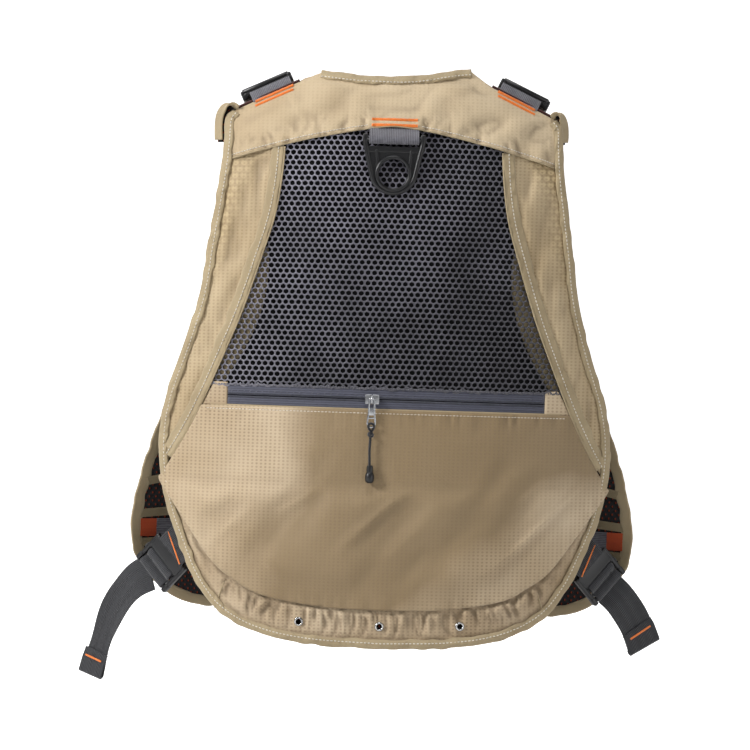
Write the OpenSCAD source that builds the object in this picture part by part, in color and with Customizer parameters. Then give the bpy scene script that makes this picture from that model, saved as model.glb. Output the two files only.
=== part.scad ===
// Fishing vest: one back panel with a zipped pocket, two swinging front panels, padded shoulder
// straps, ladder-lock buckles and webbing. The wearer faces -Y and stands along +Z, and +X is the
// wearer's left. The origin is the centre of the net ring's hole. Modules below are written about
// the wearer's axis at the level of the back hem, and in_frame() moves them.

/* [Body] */
// Radius of the curve that the panels follow round the wearer
wrap_r = 420; // [410:5:430]
// Distance from the wearer's axis to the back and front panels
depth = 105; // [100:1:110]
// Width of the folded edge binding
bind_w = 10; // [8:0.5:10]
// Width of the tape down each side of the mesh
mesh_tape_w = 12; // [10:0.5:13]

/* [Webbing and buckles] */
// Width of the side webbing
side_web_w = 38; // [34:1:38]
// Width of the shoulder webbing
shoulder_web_w = 44; // [38:1:44]
// Width of the webbing that holds the net ring
ring_web_w = 50; // [44:1:50]
// Share of the left side tail that hangs below its buckle
tail_left = 1; // [0.9:0.02:1]

/* [Fittings] */
// Diameter of the hole in the net ring
ring_bore = 29; // [26:0.5:29]
// Bore of the hem eyelets
eyelet_bore = 5; // [4.5:0.25:5]
// Distance between neighbouring eyelets
eyelet_pitch = 81; // [76:1:82]

/* [Pockets] */
// Depth of the back pocket
pocket_depth = 4.6; // [4:0.2:4.8]
// Depth of the chest pockets
chest_depth = 24; // [20:1:26]
// Depth of the lower front pockets
lower_depth = 30; // [26:1:32]

/* [Hidden] */
$fn = 180;

khaki = "#b8a583";
grey = "#4a4b55";
black = "#222326";
orange = "#f2691f";
steel = "#b9bcc0";

// Layers, as distances from the panel surface: padded lining, cloth, then tapes on top.
lining = [-5.2, -2.2];
cloth = [-1.8, -0.6];
trim = [-0.2, 0.9];
fold = [-6.6, 0.9];
gap = 0.5;

back_axis_y = depth - wrap_r;
back_lean_z = 440;
back_lean_r = 260;
front_lean_z = 400;
front_lean_r = 167;
zip_z = 250;
zip_half = 160;
zip_tape_h = 10.5;
pocket_top = 239.5;
ring_z = 476;
ring_bar_z = 510;
eyelet_z = 23;
slider_angle = 1.9;
ring_y = depth + 3;
shoulder_slope = 25;
shoulder_mid = [121, depth - 53.5, 562];
arch_r = 117;
arch_start = 84;
pad = [-8, -0.5];
pad_in = 46;
pad_out = 40;
pull_y = 9.4;
side_edge = [205, 99];
side_azimuth = asin(side_edge[0] / wrap_r);
side_reach = 19;
lock_length = 32;
chest_box = [36, 128, 268, 392];
lower_box = [40, 190, 58, 232];

// ---------- curves ----------
function spline(p0, p1, p2, p3, t) =
    0.5 * (2 * p1 + (p2 - p0) * t + (2 * p0 - 5 * p1 + 4 * p2 - p3) * t * t
        + (3 * p1 - p0 - 3 * p2 + p3) * t * t * t);
function smooth(p, n = 3) = [
    for (i = [0:len(p) - 2], k = [0:n - 1])
        spline(p[max(i - 1, 0)], p[i], p[i + 1], p[min(i + 2, len(p) - 1)], k / n),
    p[len(p) - 1]];
function reversed(p) = [for (i = [len(p) - 1:-1:0]) p[i]];
function mirrored(p) = [for (q = p) [-q[0], q[1]]];
function both_sides(half) = concat(half, reversed(mirrored(half)));
function bezier(p, t) = (1 - t) * (1 - t) * p[0] + 2 * t * (1 - t) * p[1] + t * t * p[2];
function bezier_side(p, t) = let (d = 2 * (1 - t) * (p[1] - p[0]) + 2 * t * (p[2] - p[1]))
    [-d[1], d[0]] / norm(d);

neck_points = [[0, 578], [40, 579], [76, 583]];
arm_points = [[166, 541], [172, 531], [173, 505], [176, 470], [186, 403], [193, 353], [207, 303],
    [224, 253], [231, 215], [230, 175], [221, 133], [205, 93], [190, 62], [166, 33], [128, 13],
    [75, 3], [0, 0]];
mesh_side_points = [[109, 530], [111, 480], [117, 435], [130, 390], [148, 335], [166, 290],
    [186, 243], [205, 205], [229, 165], [240, 145]];
pocket_low_points = [[240, 186], [229, 160], [217, 143], [197, 115], [172, 82], [150, 65],
    [120, 50], [60, 41], [0, 39]];
front_points = [[114.3, 452], [135, 410], [165, 362], [195, 312], [220, 262], [238, 215],
    [251, 170], [259, 135], [260, 108], [252, 84], [235, 63], [212, 44], [185, 33], [150, 30]];
front_inner = [[14, 30], [14, 395], [28, 425], [57, 479.5]];

// ---------- outlines in the XZ plane ----------
module outline(inset = 0) {
    offset(delta = -inset)
        polygon(both_sides(concat(smooth(neck_points), smooth(arm_points))));
}
module between_mesh_tapes(grow = 0) {
    offset(delta = grow)
        polygon(both_sides(concat(smooth(mesh_side_points), [[250, 120], [250, -30]])));
}
module yoke_region(low = 0) {
    polygon(both_sides(concat([[0, 600]], [[230, 600]],
        [for (x = [230:-10:0]) [x, 524 + low - 36 * pow(x / 168, 1.4)]])));
}
module pocket_region() {
    intersection() {
        outline(bind_w + 0.4);
        between_mesh_tapes(-0.4);
        polygon(both_sides(concat([[0, pocket_top]], [[240, pocket_top]],
            smooth(pocket_low_points))));
    }
}
module below_pocket(drop = 0.4) {
    difference() {
        translate([-250, -10]) square([500, 190]);
        translate([0, -drop]) polygon(both_sides(concat([[0, 300]], [[240, 300]],
            smooth(pocket_low_points))));
    }
}
module front_outline(inset = 0) {
    offset(delta = -inset) polygon(concat(front_inner, smooth(front_points)));
}
module rounded(box, r) {
    translate([box[0] + r, box[2] + r]) offset(r = r, $fn = 32)
        square([box[1] - box[0] - 2 * r, box[3] - box[2] - 2 * r]);
}

// ---------- panels as surfaces of revolution, cut to an outline ----------
module band(layer, lean_z, lean_r) {
    translate([wrap_r + layer[0], -60]) square([layer[1] - layer[0], lean_z + 60]);
    translate([wrap_r - lean_r, lean_z]) intersection() {
        difference() {
            circle(lean_r + layer[1]);
            circle(lean_r + layer[0]);
        }
        square([lean_r + layer[1] + 1, 0.96 * min(lean_r, 152)]);
    }
}
module extruded_along_y() {
    rotate([90, 0, 0]) linear_extrude(height = 200) children();
}
module back_layer(layer) {
    intersection() {
        translate([0, back_axis_y, 0]) rotate_extrude(start = 48, angle = 84)
            band(layer, back_lean_z, back_lean_r);
        translate([0, 170, 0]) extruded_along_y() children();
    }
}
module front_layer(layer) {
    intersection() {
        translate([0, -back_axis_y, 0]) rotate_extrude(start = 268, angle = 44)
            band(layer, front_lean_z, front_lean_r);
        translate([0, 30, 0]) extruded_along_y() children();
    }
}
// A straight band with no lean, for pockets and zips, as a sector that starts on the mid plane.
module low_band(layer, z, angle, start) {
    rotate_extrude(start = start, angle = angle)
        translate([wrap_r + layer[0], z[0]]) square([layer[1] - layer[0], z[1] - z[0]]);
}
module in_frame() { translate([0, -ring_y, -ring_z]) children(); }
module left() { children(); }
module right() { mirror([1, 0, 0]) children(); }

// ---------- back ----------
module back_lining() {
    color(black) difference() {
        back_layer(lining) outline(1.7);
        eyelet_places() cylinder(r = eyelet_bore / 2 + 1.1, h = 40, center = true);
    }
}
module back_yoke() {
    color(khaki) back_layer(cloth) intersection() {
        outline(1.7);
        yoke_region();
    }
}
module back_mesh() {
    color(black) back_layer(cloth) intersection() {
        between_mesh_tapes(-0.2);
        difference() {
            translate([-200, zip_z + 12]) square([400, 300]);
            yoke_region(-0.4);
        }
    }
}
module side_panel() {
    color(khaki) back_layer(cloth) difference() {
        outline(1.7);
        between_mesh_tapes(0.2);
        yoke_region(-0.4);
        below_pocket(0);
        translate([-300, -10]) square([300, 700]);
    }
}
module pocket_wall() {
    color(khaki) back_layer(cloth) intersection() {
        outline(1.7);
        between_mesh_tapes(-0.2);
        polygon(both_sides(concat([[0, pocket_top - 1]], [[240, pocket_top - 1]],
            smooth(pocket_low_points))));
    }
}
module hem_region() {
    intersection() {
        outline(1.7);
        below_pocket();
    }
}
module hem_band() {
    color(khaki) difference() {
        back_layer(cloth) intersection() {
            hem_region();
            translate([-160, -10]) square([320, 120]);
        }
        eyelet_places() cylinder(r = eyelet_bore / 2 + 1.1, h = 40, center = true);
    }
}
module hem_gussets() {
    color(khaki) for (m = [0, 1]) mirror([m, 0, 0]) back_layer(cloth) intersection() {
        hem_region();
        translate([160 + gap, -10]) square([120, 200]);
    }
}
module pocket_panel() {
    color(khaki) difference() {
        back_layer([-0.2, pocket_depth]) pocket_region();
        back_layer([-1, pocket_depth - 1.2]) offset(delta = -1.2) pocket_region();
        zip_band([-3, 1.5], [230, 245]);
    }
}
module zip_band(layer, z) {
    angle = asin(zip_half / wrap_r);
    translate([0, back_axis_y, 0]) low_band(layer, z, 2 * angle, 90 - angle);
}
module zip_tape_upper() {
    color(grey) zip_band([0.2, 1], [zip_z + 0.6, zip_z + 0.6 + zip_tape_h]);
}
module zip_tape_lower() {
    color(grey) zip_band([0.2, 1], [zip_z - 0.6 - zip_tape_h - 2, zip_z - 0.6]);
}
module zip_coils() {
    color(grey) for (z = [zip_z - 2.6, zip_z + 0.8]) zip_band([1.1, 2.4], [z, z + 1.8]);
}
module zip_garages() {
    color(khaki) back_layer([-0.2, 1]) difference() {
        intersection() {
            between_mesh_tapes(-0.4);
            translate([-200, pocket_top + 0.6]) square([400, 22]);
        }
        translate([-zip_half - 1, 200]) square([2 * zip_half + 2, 100]);
    }
}
module folded_edge(inner_gap = 1.2) {
    difference() {
        back_layer(fold) difference() {
            outline();
            outline(bind_w);
        }
        back_layer([fold[0] + 1.1, fold[1] - 1.2]) outline(inner_gap);
    }
}
module neck_zone() {
    translate([-250, 560]) square([500, 60]);
}
module shoulder_zone() {
    polygon([[76.5, 600], [76.5, 555], [156, 520], [162, 546], [171, 546], [200, 600]]);
}
module back_binding() {
    color(khaki) difference() {
        folded_edge();
        for (m = [0, 1]) mirror([m, 0, 0]) translate([0, 170, 0]) extruded_along_y()
            shoulder_zone();
        translate([0, 170, 0]) extruded_along_y() neck_zone();
    }
}
module neck_binding() {
    color(khaki) intersection() {
        folded_edge();
        translate([0, 170, 0]) extruded_along_y() translate([-76, 560]) square([152, 60]);
    }
}
module mesh_tapes() {
    color(khaki) back_layer(trim) intersection() {
        difference() {
            between_mesh_tapes(mesh_tape_w);
            between_mesh_tapes();
            yoke_region(-0.4);
        }
        outline(bind_w + 0.4);
        translate([-250, 100]) square([500, 500]);
    }
}

// ---------- net ring ----------
module ring_bar_place() {
    translate([0, ring_y, ring_bar_z]) children();
}
module net_loop() {
    color(grey) ring_bar_place() rotate([229.7, 0, 0]) rotate([0, -90, 0])
        bar_loop(ring_web_w, 15, 2.9, 4.4);
}
module ring_face() {
    difference() {
        hull() {
            for (x = [-26, 26]) translate([x, -2]) circle(r = 6, $fn = 64);
            translate([0, ring_z - ring_bar_z + 3]) circle(r = 25, $fn = 96);
            translate([0, ring_z - ring_bar_z - 2]) circle(r = 20.5, $fn = 96);
        }
        translate([-ring_web_w / 2 - 1, -9]) square([ring_web_w + 2, 20]);
        translate([0, ring_z - ring_bar_z]) circle(d = ring_bore);
    }
}
module net_ring() {
    color(black) ring_bar_place() {
        difference() {
            rotate([90, 0, 0]) linear_extrude(height = 5.6, center = true) ring_face();
            translate([0, 0, ring_z - ring_bar_z]) rotate([90, 0, 0])
                cylinder(d = ring_bore, h = 20, center = true);
        }
        rotate([0, 90, 0]) cylinder(r = 2.5, h = ring_web_w + 3, center = true);
    }
}

// ---------- eyelets and stitched bars ----------
module eyelet_places() {
    for (i = [-1:1]) translate([0, back_axis_y, 0])
        rotate([0, 0, i * 2 * asin(eyelet_pitch / 2 / wrap_r)])
            translate([0, wrap_r, eyelet_z + 2 * abs(i)]) rotate([-90, 0, 0]) children();
}
module hem_eyelets() {
    color(steel) eyelet_places() difference() {
        union() {
            translate([0, 0, -7.2]) cylinder(r = eyelet_bore / 2 + 0.8, h = 8);
            translate([0, 0, -0.3]) cylinder(r = eyelet_bore / 2 + 2.3, h = 1.1);
            translate([0, 0, -7.2]) cylinder(r = eyelet_bore / 2 + 2.3, h = 1.4);
        }
        cylinder(d = eyelet_bore, h = 40, center = true);
    }
}
module bartacks() {
    color(orange) {
        for (z = [525.5, 531.5]) back_layer([-0.4, 0.3])
            translate([-21, z]) square([42, 2.6]);
        for (m = [0, 1], d = [0, 5.6]) mirror([m, 0, 0]) back_layer([-0.4, 0.3])
            translate([103, 563 - d]) rotate(-shoulder_slope) square([42, 2.4]);
    }
}

// ---------- zip slider, pull and cord ----------
module slider_place() {
    translate([0, back_axis_y, 0]) rotate([0, 0, -slider_angle]) translate([0, wrap_r, zip_z])
        children();
}
module slider_body() {
    translate([-7, 2.8, -5]) cube([14, 1.4, 10]);
    translate([-7, -1.6, -5]) cube([14, 1.4, 10]);
    translate([-3, -1.6, -0.4]) cube([6, 5, 0.8]);
    difference() {
        translate([-0.9, 4, -4]) cube([1.8, pull_y - 1.4, 8]);
        translate([-2, 3.9, -2.6]) cube([4, pull_y - 2.5, 5.2]);
    }
}
module zip_slider() {
    color(black) slider_place() slider_body();
}
module zip_pull() {
    color(steel) slider_place() translate([0, pull_y, 0]) rotate([90, 0, 0])
        linear_extrude(height = 1, center = true) difference() {
            union() {
                translate([-3.4, -23]) square([6.8, 24]);
                translate([0, -24]) circle(r = 4.4);
            }
            translate([-1.7, -8]) square([3.4, 7]);
            translate([0, -24]) circle(r = 2.8);
        }
}
cord_pivot = -27.6;
module pull_cord() {
    color(black) slider_place() translate([0, pull_y, cord_pivot]) {
        rotate([0, 90, 0]) rotate_extrude() translate([2.7, 0]) circle(r = 1, $fn = 32);
        translate([0, 0, -11]) cylinder(r = 2.6, h = 8);
        translate([0, 0, -46]) cylinder(r = 1.5, h = 37);
    }
}
module cord_end() {
    color(black) slider_place() translate([0, pull_y, cord_pivot - 56]) rotate_extrude()
        difference() {
            union() {
                square([3.6, 18]);
                intersection() {
                    translate([0, 5]) circle(r = 4.6);
                    square([6, 12]);
                }
            }
            translate([0, 9]) square([1.7, 13]);
        }
}

// ---------- ladder-lock buckle; bars along Z, strap along X, thickness along Y ----------
module ladder_lock(web) {
    half = web / 2 + 1;
    for (z = [-half - 5, half]) translate([-4, -3.4, z]) cube([lock_length + 3, 6.8, 5]);
    for (x = [0, lock_length - 4]) translate([x, 0, -half - 1]) cylinder(r = 2.2, h = 2 * half + 2);
    translate([12, -2.4, -half - 1]) cube([6, 4.4, 2 * half + 2]);
}
// Webbing folded round a bar, with both legs running back by length.
module bar_loop(web, length, bore = 2.6, outer = 4.2) {
    linear_extrude(height = web, center = true) difference() {
        union() {
            circle(outer);
            translate([-length, -outer]) square([length, 2 * outer]);
        }
        circle(bore);
        translate([-length - 1, -bore]) square([length + 1, 2 * bore]);
    }
}

// ---------- shoulder, left side; the right side is its mirror image ----------
module shoulder_place() {
    translate(shoulder_mid) rotate([0, shoulder_slope, 0]) children();
}
// An arch over the shoulder; angles run from the back, through 90 at the top, to the front.
module arch(layer, from, to, inner, outer) {
    translate([-inner, -arch_r * cos(arch_start), -arch_r * sin(arch_start)]) rotate([90, 0, 90])
        rotate_extrude(start = from, angle = to - from)
            translate([arch_r + layer[0], 0]) square([layer[1] - layer[0], inner + outer]);
}
module shoulder_cap() {
    color(khaki) shoulder_place() arch(pad, arch_start + 4.5, 98, pad_in, pad_out);
}
module shoulder_strap() {
    color(khaki) shoulder_place() difference() {
        arch(pad, 118, 172, pad_in, pad_out);
        translate([-pad_in, -200, -13]) rotate([0, -14.8, 0]) translate([-60, 0, -130])
            cube([60, 300, 150]);
    }
}
module shoulder_buckle_place() {
    shoulder_place() translate([8, -14.4, 6.1]) rotate([98, 0, 0]) rotate([0, -90, 0])
        children();
}
module shoulder_loop() {
    color(grey) shoulder_buckle_place() bar_loop(shoulder_web_w, 9);
}
module shoulder_buckle() {
    color(black) shoulder_buckle_place() ladder_lock(shoulder_web_w);
}
module shoulder_web() {
    color(grey) shoulder_place()
        arch([0, 1.6], 119, 168, shoulder_web_w / 2 - 8, shoulder_web_w / 2 + 8);
}

// ---------- side straps, left side ----------
module side_place() {
    translate([0, back_axis_y, 0]) rotate([0, 0, -side_azimuth])
        translate([0, wrap_r - 2.9, side_edge[1]]) children();
}
module side_strap_place() {
    side_place() rotate([0, 45, 0]) translate([side_reach, 0, 0]) children();
}
module side_loop() {
    color(grey) difference() {
        side_strap_place() bar_loop(side_web_w, 24);
        translate([0, 170, 0]) extruded_along_y() outline(-0.6);
    }
}
module side_buckle() {
    color(black) side_strap_place() ladder_lock(side_web_w);
}
module tail_band(p, half_width, steps = 10) {
    polygon(concat(
        [for (i = [0:steps]) bezier(p, i / steps) + half_width * bezier_side(p, i / steps)],
        [for (i = [steps:-1:0]) bezier(p, i / steps) - half_width * bezier_side(p, i / steps)]));
}
// The free end hangs in the plane of the buckle, folded over and stitched at its tip.
module side_tail(p, half_width) {
    color(grey) {
        side_place() rotate([90, 0, 0]) translate([0, 0, 2.6]) linear_extrude(height = 1.6)
            tail_band(p, half_width);
        side_place() rotate([90, 0, 0]) translate([0, 0, 0.8]) linear_extrude(height = 5)
            tail_band([bezier(p, 0.82), bezier(p, 0.91), bezier(p, 1)], half_width + 0.6, 2);
        side_strap_place() translate([lock_length - 4, 0, 0])
            linear_extrude(height = side_web_w - 4, center = true) difference() {
                circle(4.2);
                circle(2.6);
            }
    }
}
// The anchor webbing on the front panel's side edge.
module side_strap() {
    color(grey) translate([242, 86 - depth, 73]) cube([1.6, 28, side_web_w - 4]);
}

// ---------- front, left side ----------
module front_pocket_box(box, high) {
    difference() {
        front_layer([-0.2, high]) rounded(box, 14);
        front_layer([-1, high - 1.5]) rounded(box + [1.5, -1.5, 1.5, -1.5], 12.5);
        front_zip_band([high - 3, high + 1], pocket_zip_z(box) + [-4.4, 4.4], box, 12);
    }
    for (s = [0.6, -4.4]) front_zip_band([high - 0.9, high], pocket_zip_z(box) + [s, s + 3.8],
        box, 11.5);
}
function pocket_zip_z(box) = [box[3] - 24, box[3] - 24];
module front_zip_band(layer, z, box, inset) {
    from = asin((box[0] + inset) / wrap_r);
    to = asin((box[1] - inset) / wrap_r);
    translate([0, -back_axis_y, 0]) low_band(layer, z, to - from, 270 + from);
}
module front_slider(box, high) {
    rest = asin((box[0] + 20) / (wrap_r + high));
    translate([0, -back_axis_y, 0]) rotate([0, 0, 180 + rest])
        translate([0, wrap_r + high - 1.2, pocket_zip_z(box)[0]]) {
            translate([-6, 1.7, -4]) cube([12, 1.4, 8]);
            translate([-6, -1.9, -4]) cube([12, 1.4, 8]);
            translate([-2.5, -1.9, -0.4]) cube([5, 5, 0.8]);
            translate([-4, 2.8, -25]) cube([8, 1.4, 28]);
        }
}
module front_lining() {
    color(black) front_layer(lining) front_outline(1.7);
}
module front_shell() {
    color(khaki) front_layer(cloth) front_outline(1.7);
}
module front_binding() {
    color(khaki) difference() {
        front_layer(fold) difference() {
            front_outline();
            front_outline(bind_w);
        }
        front_layer([fold[0] + 1.1, fold[1] - 1.2]) front_outline(1.2);
        translate([0, 100, 0]) extruded_along_y()
            polygon([[66, 482], [50, 462], [108, 434], [124, 448], [112, 470]]);
    }
}
module chest_pocket() {
    color(khaki) front_pocket_box(chest_box, chest_depth);
}
module lower_pocket() {
    color(khaki) front_pocket_box(lower_box, lower_depth);
}
module chest_slider() {
    color(steel) front_slider(chest_box, chest_depth);
}
module lower_slider() {
    color(steel) front_slider(lower_box, lower_depth);
}
// Chest strap: webbing from the panel's front edge, ending at one half of the buckle.
chest_z = 250;
module chest_strap() {
    color(grey) translate([14, -depth - 5.2, chest_z - 10]) cube([21, 1.6, 20]);
}
module buckle_socket() {
    color(black) translate([3, -depth - 9, chest_z - 15]) difference() {
        cube([9.6, 8.6, 30]);
        translate([-1, 1.8, 3]) cube([8, 5, 24]);
    }
}
module buckle_plug() {
    color(black) translate([-12.6, -depth - 9, chest_z - 15]) {
        cube([4.6, 8.6, 30]);
        for (z = [4, 13.5, 23]) translate([4.2, 2.4, z]) cube([5.6, 3.8, 3]);
    }
}

left_tail = [[33, -33], [78, -43], [106, -142 * tail_left]];
right_tail = [[33, -33], [57, -57], [80, -95]];

in_frame() back_lining();
in_frame() back_yoke();
in_frame() back_mesh();
in_frame() left() side_panel();  // side_panel_left
in_frame() right() side_panel();  // side_panel_right
in_frame() pocket_wall();
in_frame() hem_band();
in_frame() hem_gussets();
in_frame() pocket_panel();
in_frame() zip_tape_upper();
in_frame() zip_tape_lower();
in_frame() zip_coils();
in_frame() zip_garages();
in_frame() back_binding();
in_frame() mesh_tapes();
in_frame() neck_binding();
in_frame() net_loop();
in_frame() net_ring();
in_frame() hem_eyelets();
in_frame() bartacks();
in_frame() zip_slider();
in_frame() zip_pull();
in_frame() pull_cord();
in_frame() cord_end();
in_frame() left() shoulder_cap();  // shoulder_cap_left
in_frame() right() shoulder_cap();  // shoulder_cap_right
in_frame() left() shoulder_loop();  // shoulder_loop_left
in_frame() right() shoulder_loop();  // shoulder_loop_right
in_frame() left() shoulder_buckle();  // shoulder_buckle_left
in_frame() right() shoulder_buckle();  // shoulder_buckle_right
in_frame() left() side_loop();  // side_loop_left
in_frame() right() side_loop();  // side_loop_right
in_frame() left() side_buckle();  // side_buckle_left
in_frame() right() side_buckle();  // side_buckle_right
in_frame() left() side_tail(left_tail, 16);  // side_tail_left
in_frame() right() side_tail(right_tail, 18);  // side_tail_right
in_frame() left() front_lining();  // front_lining_left
in_frame() right() front_lining();  // front_lining_right
in_frame() left() front_shell();  // front_shell_left
in_frame() right() front_shell();  // front_shell_right
in_frame() left() front_binding();  // front_binding_left
in_frame() right() front_binding();  // front_binding_right
in_frame() left() shoulder_strap();  // shoulder_strap_left
in_frame() right() shoulder_strap();  // shoulder_strap_right
in_frame() left() shoulder_web();  // shoulder_web_left
in_frame() right() shoulder_web();  // shoulder_web_right
in_frame() left() side_strap();  // side_strap_left
in_frame() right() side_strap();  // side_strap_right
in_frame() left() chest_pocket();  // chest_pocket_left
in_frame() right() chest_pocket();  // chest_pocket_right
in_frame() left() lower_pocket();  // lower_pocket_left
in_frame() right() lower_pocket();  // lower_pocket_right
in_frame() left() chest_slider();  // chest_slider_left
in_frame() right() chest_slider();  // chest_slider_right
in_frame() left() lower_slider();  // lower_slider_left
in_frame() right() lower_slider();  // lower_slider_right
in_frame() left() chest_strap();  // chest_strap_left
in_frame() right() chest_strap();  // chest_strap_right
in_frame() buckle_socket();
in_frame() buckle_plug();
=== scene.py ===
import math
import bpy
import bmesh
import numpy as np
from mathutils import Matrix, Vector
from mathutils.bvhtree import BVHTree


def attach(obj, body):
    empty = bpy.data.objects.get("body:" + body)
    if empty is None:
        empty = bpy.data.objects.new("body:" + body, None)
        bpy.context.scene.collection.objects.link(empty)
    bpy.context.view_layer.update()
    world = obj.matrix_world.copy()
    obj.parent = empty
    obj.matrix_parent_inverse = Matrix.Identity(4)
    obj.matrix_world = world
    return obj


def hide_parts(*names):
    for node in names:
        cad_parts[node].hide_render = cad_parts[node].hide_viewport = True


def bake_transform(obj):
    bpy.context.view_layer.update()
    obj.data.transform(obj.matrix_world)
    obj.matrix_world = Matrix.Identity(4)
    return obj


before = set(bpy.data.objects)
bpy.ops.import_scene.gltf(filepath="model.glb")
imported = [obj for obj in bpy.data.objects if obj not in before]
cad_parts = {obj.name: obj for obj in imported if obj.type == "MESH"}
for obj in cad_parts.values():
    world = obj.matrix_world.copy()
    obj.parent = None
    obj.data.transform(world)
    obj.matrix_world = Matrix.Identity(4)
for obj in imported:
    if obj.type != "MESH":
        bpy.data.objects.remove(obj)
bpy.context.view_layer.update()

# A fishing vest built round its CAD frame: cloth panels and tapes laid on curved surfaces, webbing
# swept along paths, moulded and metal parts from rounded solids, and padded pieces swollen by a
# short cloth simulation. All shapes are in millimetres about the wearer's axis at hem level, with
# the wearer facing -Y; place() moves them into the frame, whose origin is the net ring's centre.
DEPTH, WRAP = 105.0, 420.0
ORIGIN = np.array([0.0, DEPTH + 3, 476.0])
AXIS_Y = DEPTH - WRAP
LEAN_Z, LEAN_R = 440.0, 260.0
FRONT_LEAN_Z, FRONT_LEAN_R = 400.0, 167.0
ZIP_Z, ZIP_HALF = 250.0, 160.0
SIDES = ((1, "left"), (-1, "right"))


def place(v):
    return (np.asarray(v, float).reshape(-1, 3) - ORIGIN) / 1000


# ---------- numbers ----------
def smooth_path(points, n=6):
    p = np.asarray(points, float)
    q = np.vstack([2 * p[0] - p[1], p, 2 * p[-1] - p[-2]])
    out = []
    for i in range(1, len(q) - 2):
        for k in range(n):
            t = k / n
            out.append(0.5 * (2 * q[i] + (q[i + 1] - q[i - 1]) * t
                              + (2 * q[i - 1] - 5 * q[i] + 4 * q[i + 1] - q[i + 2]) * t * t
                              + (3 * q[i] - q[i - 1] - 3 * q[i + 1] + q[i + 2]) * t ** 3))
    out.append(q[-2])
    return np.array(out)


def unit(v):
    v = np.asarray(v, float)
    return v / np.linalg.norm(v, axis=-1, keepdims=True)


def lengths(path):
    """Distance along a path at each of its points."""
    return np.concatenate([[0], np.cumsum(np.linalg.norm(np.diff(path, axis=0), axis=1))])


def resample(path, step):
    path = np.asarray(path, float)
    s = lengths(path)
    n = max(2, int(round(s[-1] / step)) + 1)
    t = np.linspace(0, s[-1], n)
    return np.stack([np.interp(t, s, path[:, k]) for k in range(path.shape[1])], 1)


def noise2(x, y, seed=0):
    """Smooth noise from -1 to 1 on a repeating table of seeded random numbers."""
    tab = np.random.RandomState(seed).rand(97, 97) * 2 - 1
    x, y = np.broadcast_arrays(np.asarray(x, float), np.asarray(y, float))
    xi, yi = np.floor(x).astype(int), np.floor(y).astype(int)
    fx, fy = x - xi, y - yi
    fx = fx * fx * fx * (fx * (fx * 6 - 15) + 10)
    fy = fy * fy * fy * (fy * (fy * 6 - 15) + 10)
    a, b = tab[xi % 97, yi % 97], tab[(xi + 1) % 97, yi % 97]
    c, d = tab[xi % 97, (yi + 1) % 97], tab[(xi + 1) % 97, (yi + 1) % 97]
    return (a * (1 - fx) + b * fx) * (1 - fy) + (c * (1 - fx) + d * fx) * fy


def ridge(x, y, seed=0):
    """Noise with sharp crests, for creases and pleats."""
    return 1 - 2 * np.abs(noise2(x, y, seed))


def step01(x, a, b):
    """Rises smoothly from 0 at a to 1 at b."""
    t = np.clip((np.asarray(x, float) - a) / (b - a), 0, 1)
    return t * t * (3 - 2 * t)


def both(half):
    """A half outline followed by its mirror image."""
    half = np.asarray(half, float)
    return np.vstack([half, half[::-1] * [-1, 1]])


def poly_distance(p, poly):
    """Signed distance to a closed outline, negative inside, and the nearest outline point."""
    a, b = poly, np.roll(poly, -1, 0)
    keep = np.linalg.norm(b - a, axis=1) > 1e-6
    a, b = a[keep], b[keep]
    d = b - a
    best = np.full(len(p), 1e9)
    near = np.zeros((len(p), 2))
    inside = np.zeros(len(p), bool)
    for i in range(len(a)):
        t = np.clip(((p - a[i]) @ d[i]) / (d[i] @ d[i]), 0, 1)
        q = a[i] + t[:, None] * d[i]
        dist = np.hypot(*(p - q).T)
        m = dist < best
        best[m], near[m] = dist[m], q[m]
        if abs(d[i][1]) > 1e-9:
            spans = (a[i][1] > p[:, 1]) != (b[i][1] > p[:, 1])
            inside ^= spans & (p[:, 0] < d[i][0] * (p[:, 1] - a[i][1]) / d[i][1] + a[i][0])
    return np.where(inside, -best, best), near


# ---------- surfaces the panels follow ----------
def leaning(x, z, d, lean_z, lean_r, face):
    """Points d off an upright cylinder that leans in on an arc above lean_z."""
    x, z, d = np.broadcast_arrays(np.asarray(x, float), np.asarray(z, float), np.asarray(d, float))
    up = np.clip(z - lean_z, 0, None)
    r = WRAP - lean_r + np.sqrt((lean_r + d) ** 2 - up ** 2)
    r = np.where(up > 0, r, WRAP + d)
    return np.stack([x, face * (AXIS_Y + np.sqrt(r * r - x * x)), z], -1)


def back_xyz(x, z, d=0.0):
    return leaning(x, z, d, LEAN_Z, LEAN_R, 1)


def front_xyz(x, z, d=0.0):
    return leaning(x, z, d, FRONT_LEAN_Z, FRONT_LEAN_R, -1)


def on_surface(surf, x, z, d):
    """Points at distance d off a surface, and the way out of it there."""
    p = surf(x, z, d)
    return p, surf(x, z, d + 1) - p


# the shoulder's own frame, and the arch its padding follows
SLOPE = math.radians(25)
MID = np.array([121.0, DEPTH - 53.5, 562.0])
ARCH_R, ARCH_START = 117.0, math.radians(84)


def shoulder(p, side):
    """Points in the sloping shoulder frame, moved to the vest."""
    p = np.asarray(p, float).reshape(-1, 3)
    c, s = math.cos(SLOPE), math.sin(SLOPE)
    out = np.stack([c * p[:, 0] + s * p[:, 2], p[:, 1], -s * p[:, 0] + c * p[:, 2]], 1) + MID
    return out * [side, 1, 1]


def arch(x, deg, lift, side):
    """Points on the shoulder's arch: x across it, deg along it, lift above it."""
    a = np.radians(deg)
    r = ARCH_R + lift
    x, y, z = np.broadcast_arrays(x, r * np.cos(a) - ARCH_R * math.cos(ARCH_START),
                                  r * np.sin(a) - ARCH_R * math.sin(ARCH_START))
    return shoulder(np.stack([x, y, z], -1).reshape(-1, 3), side)


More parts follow.
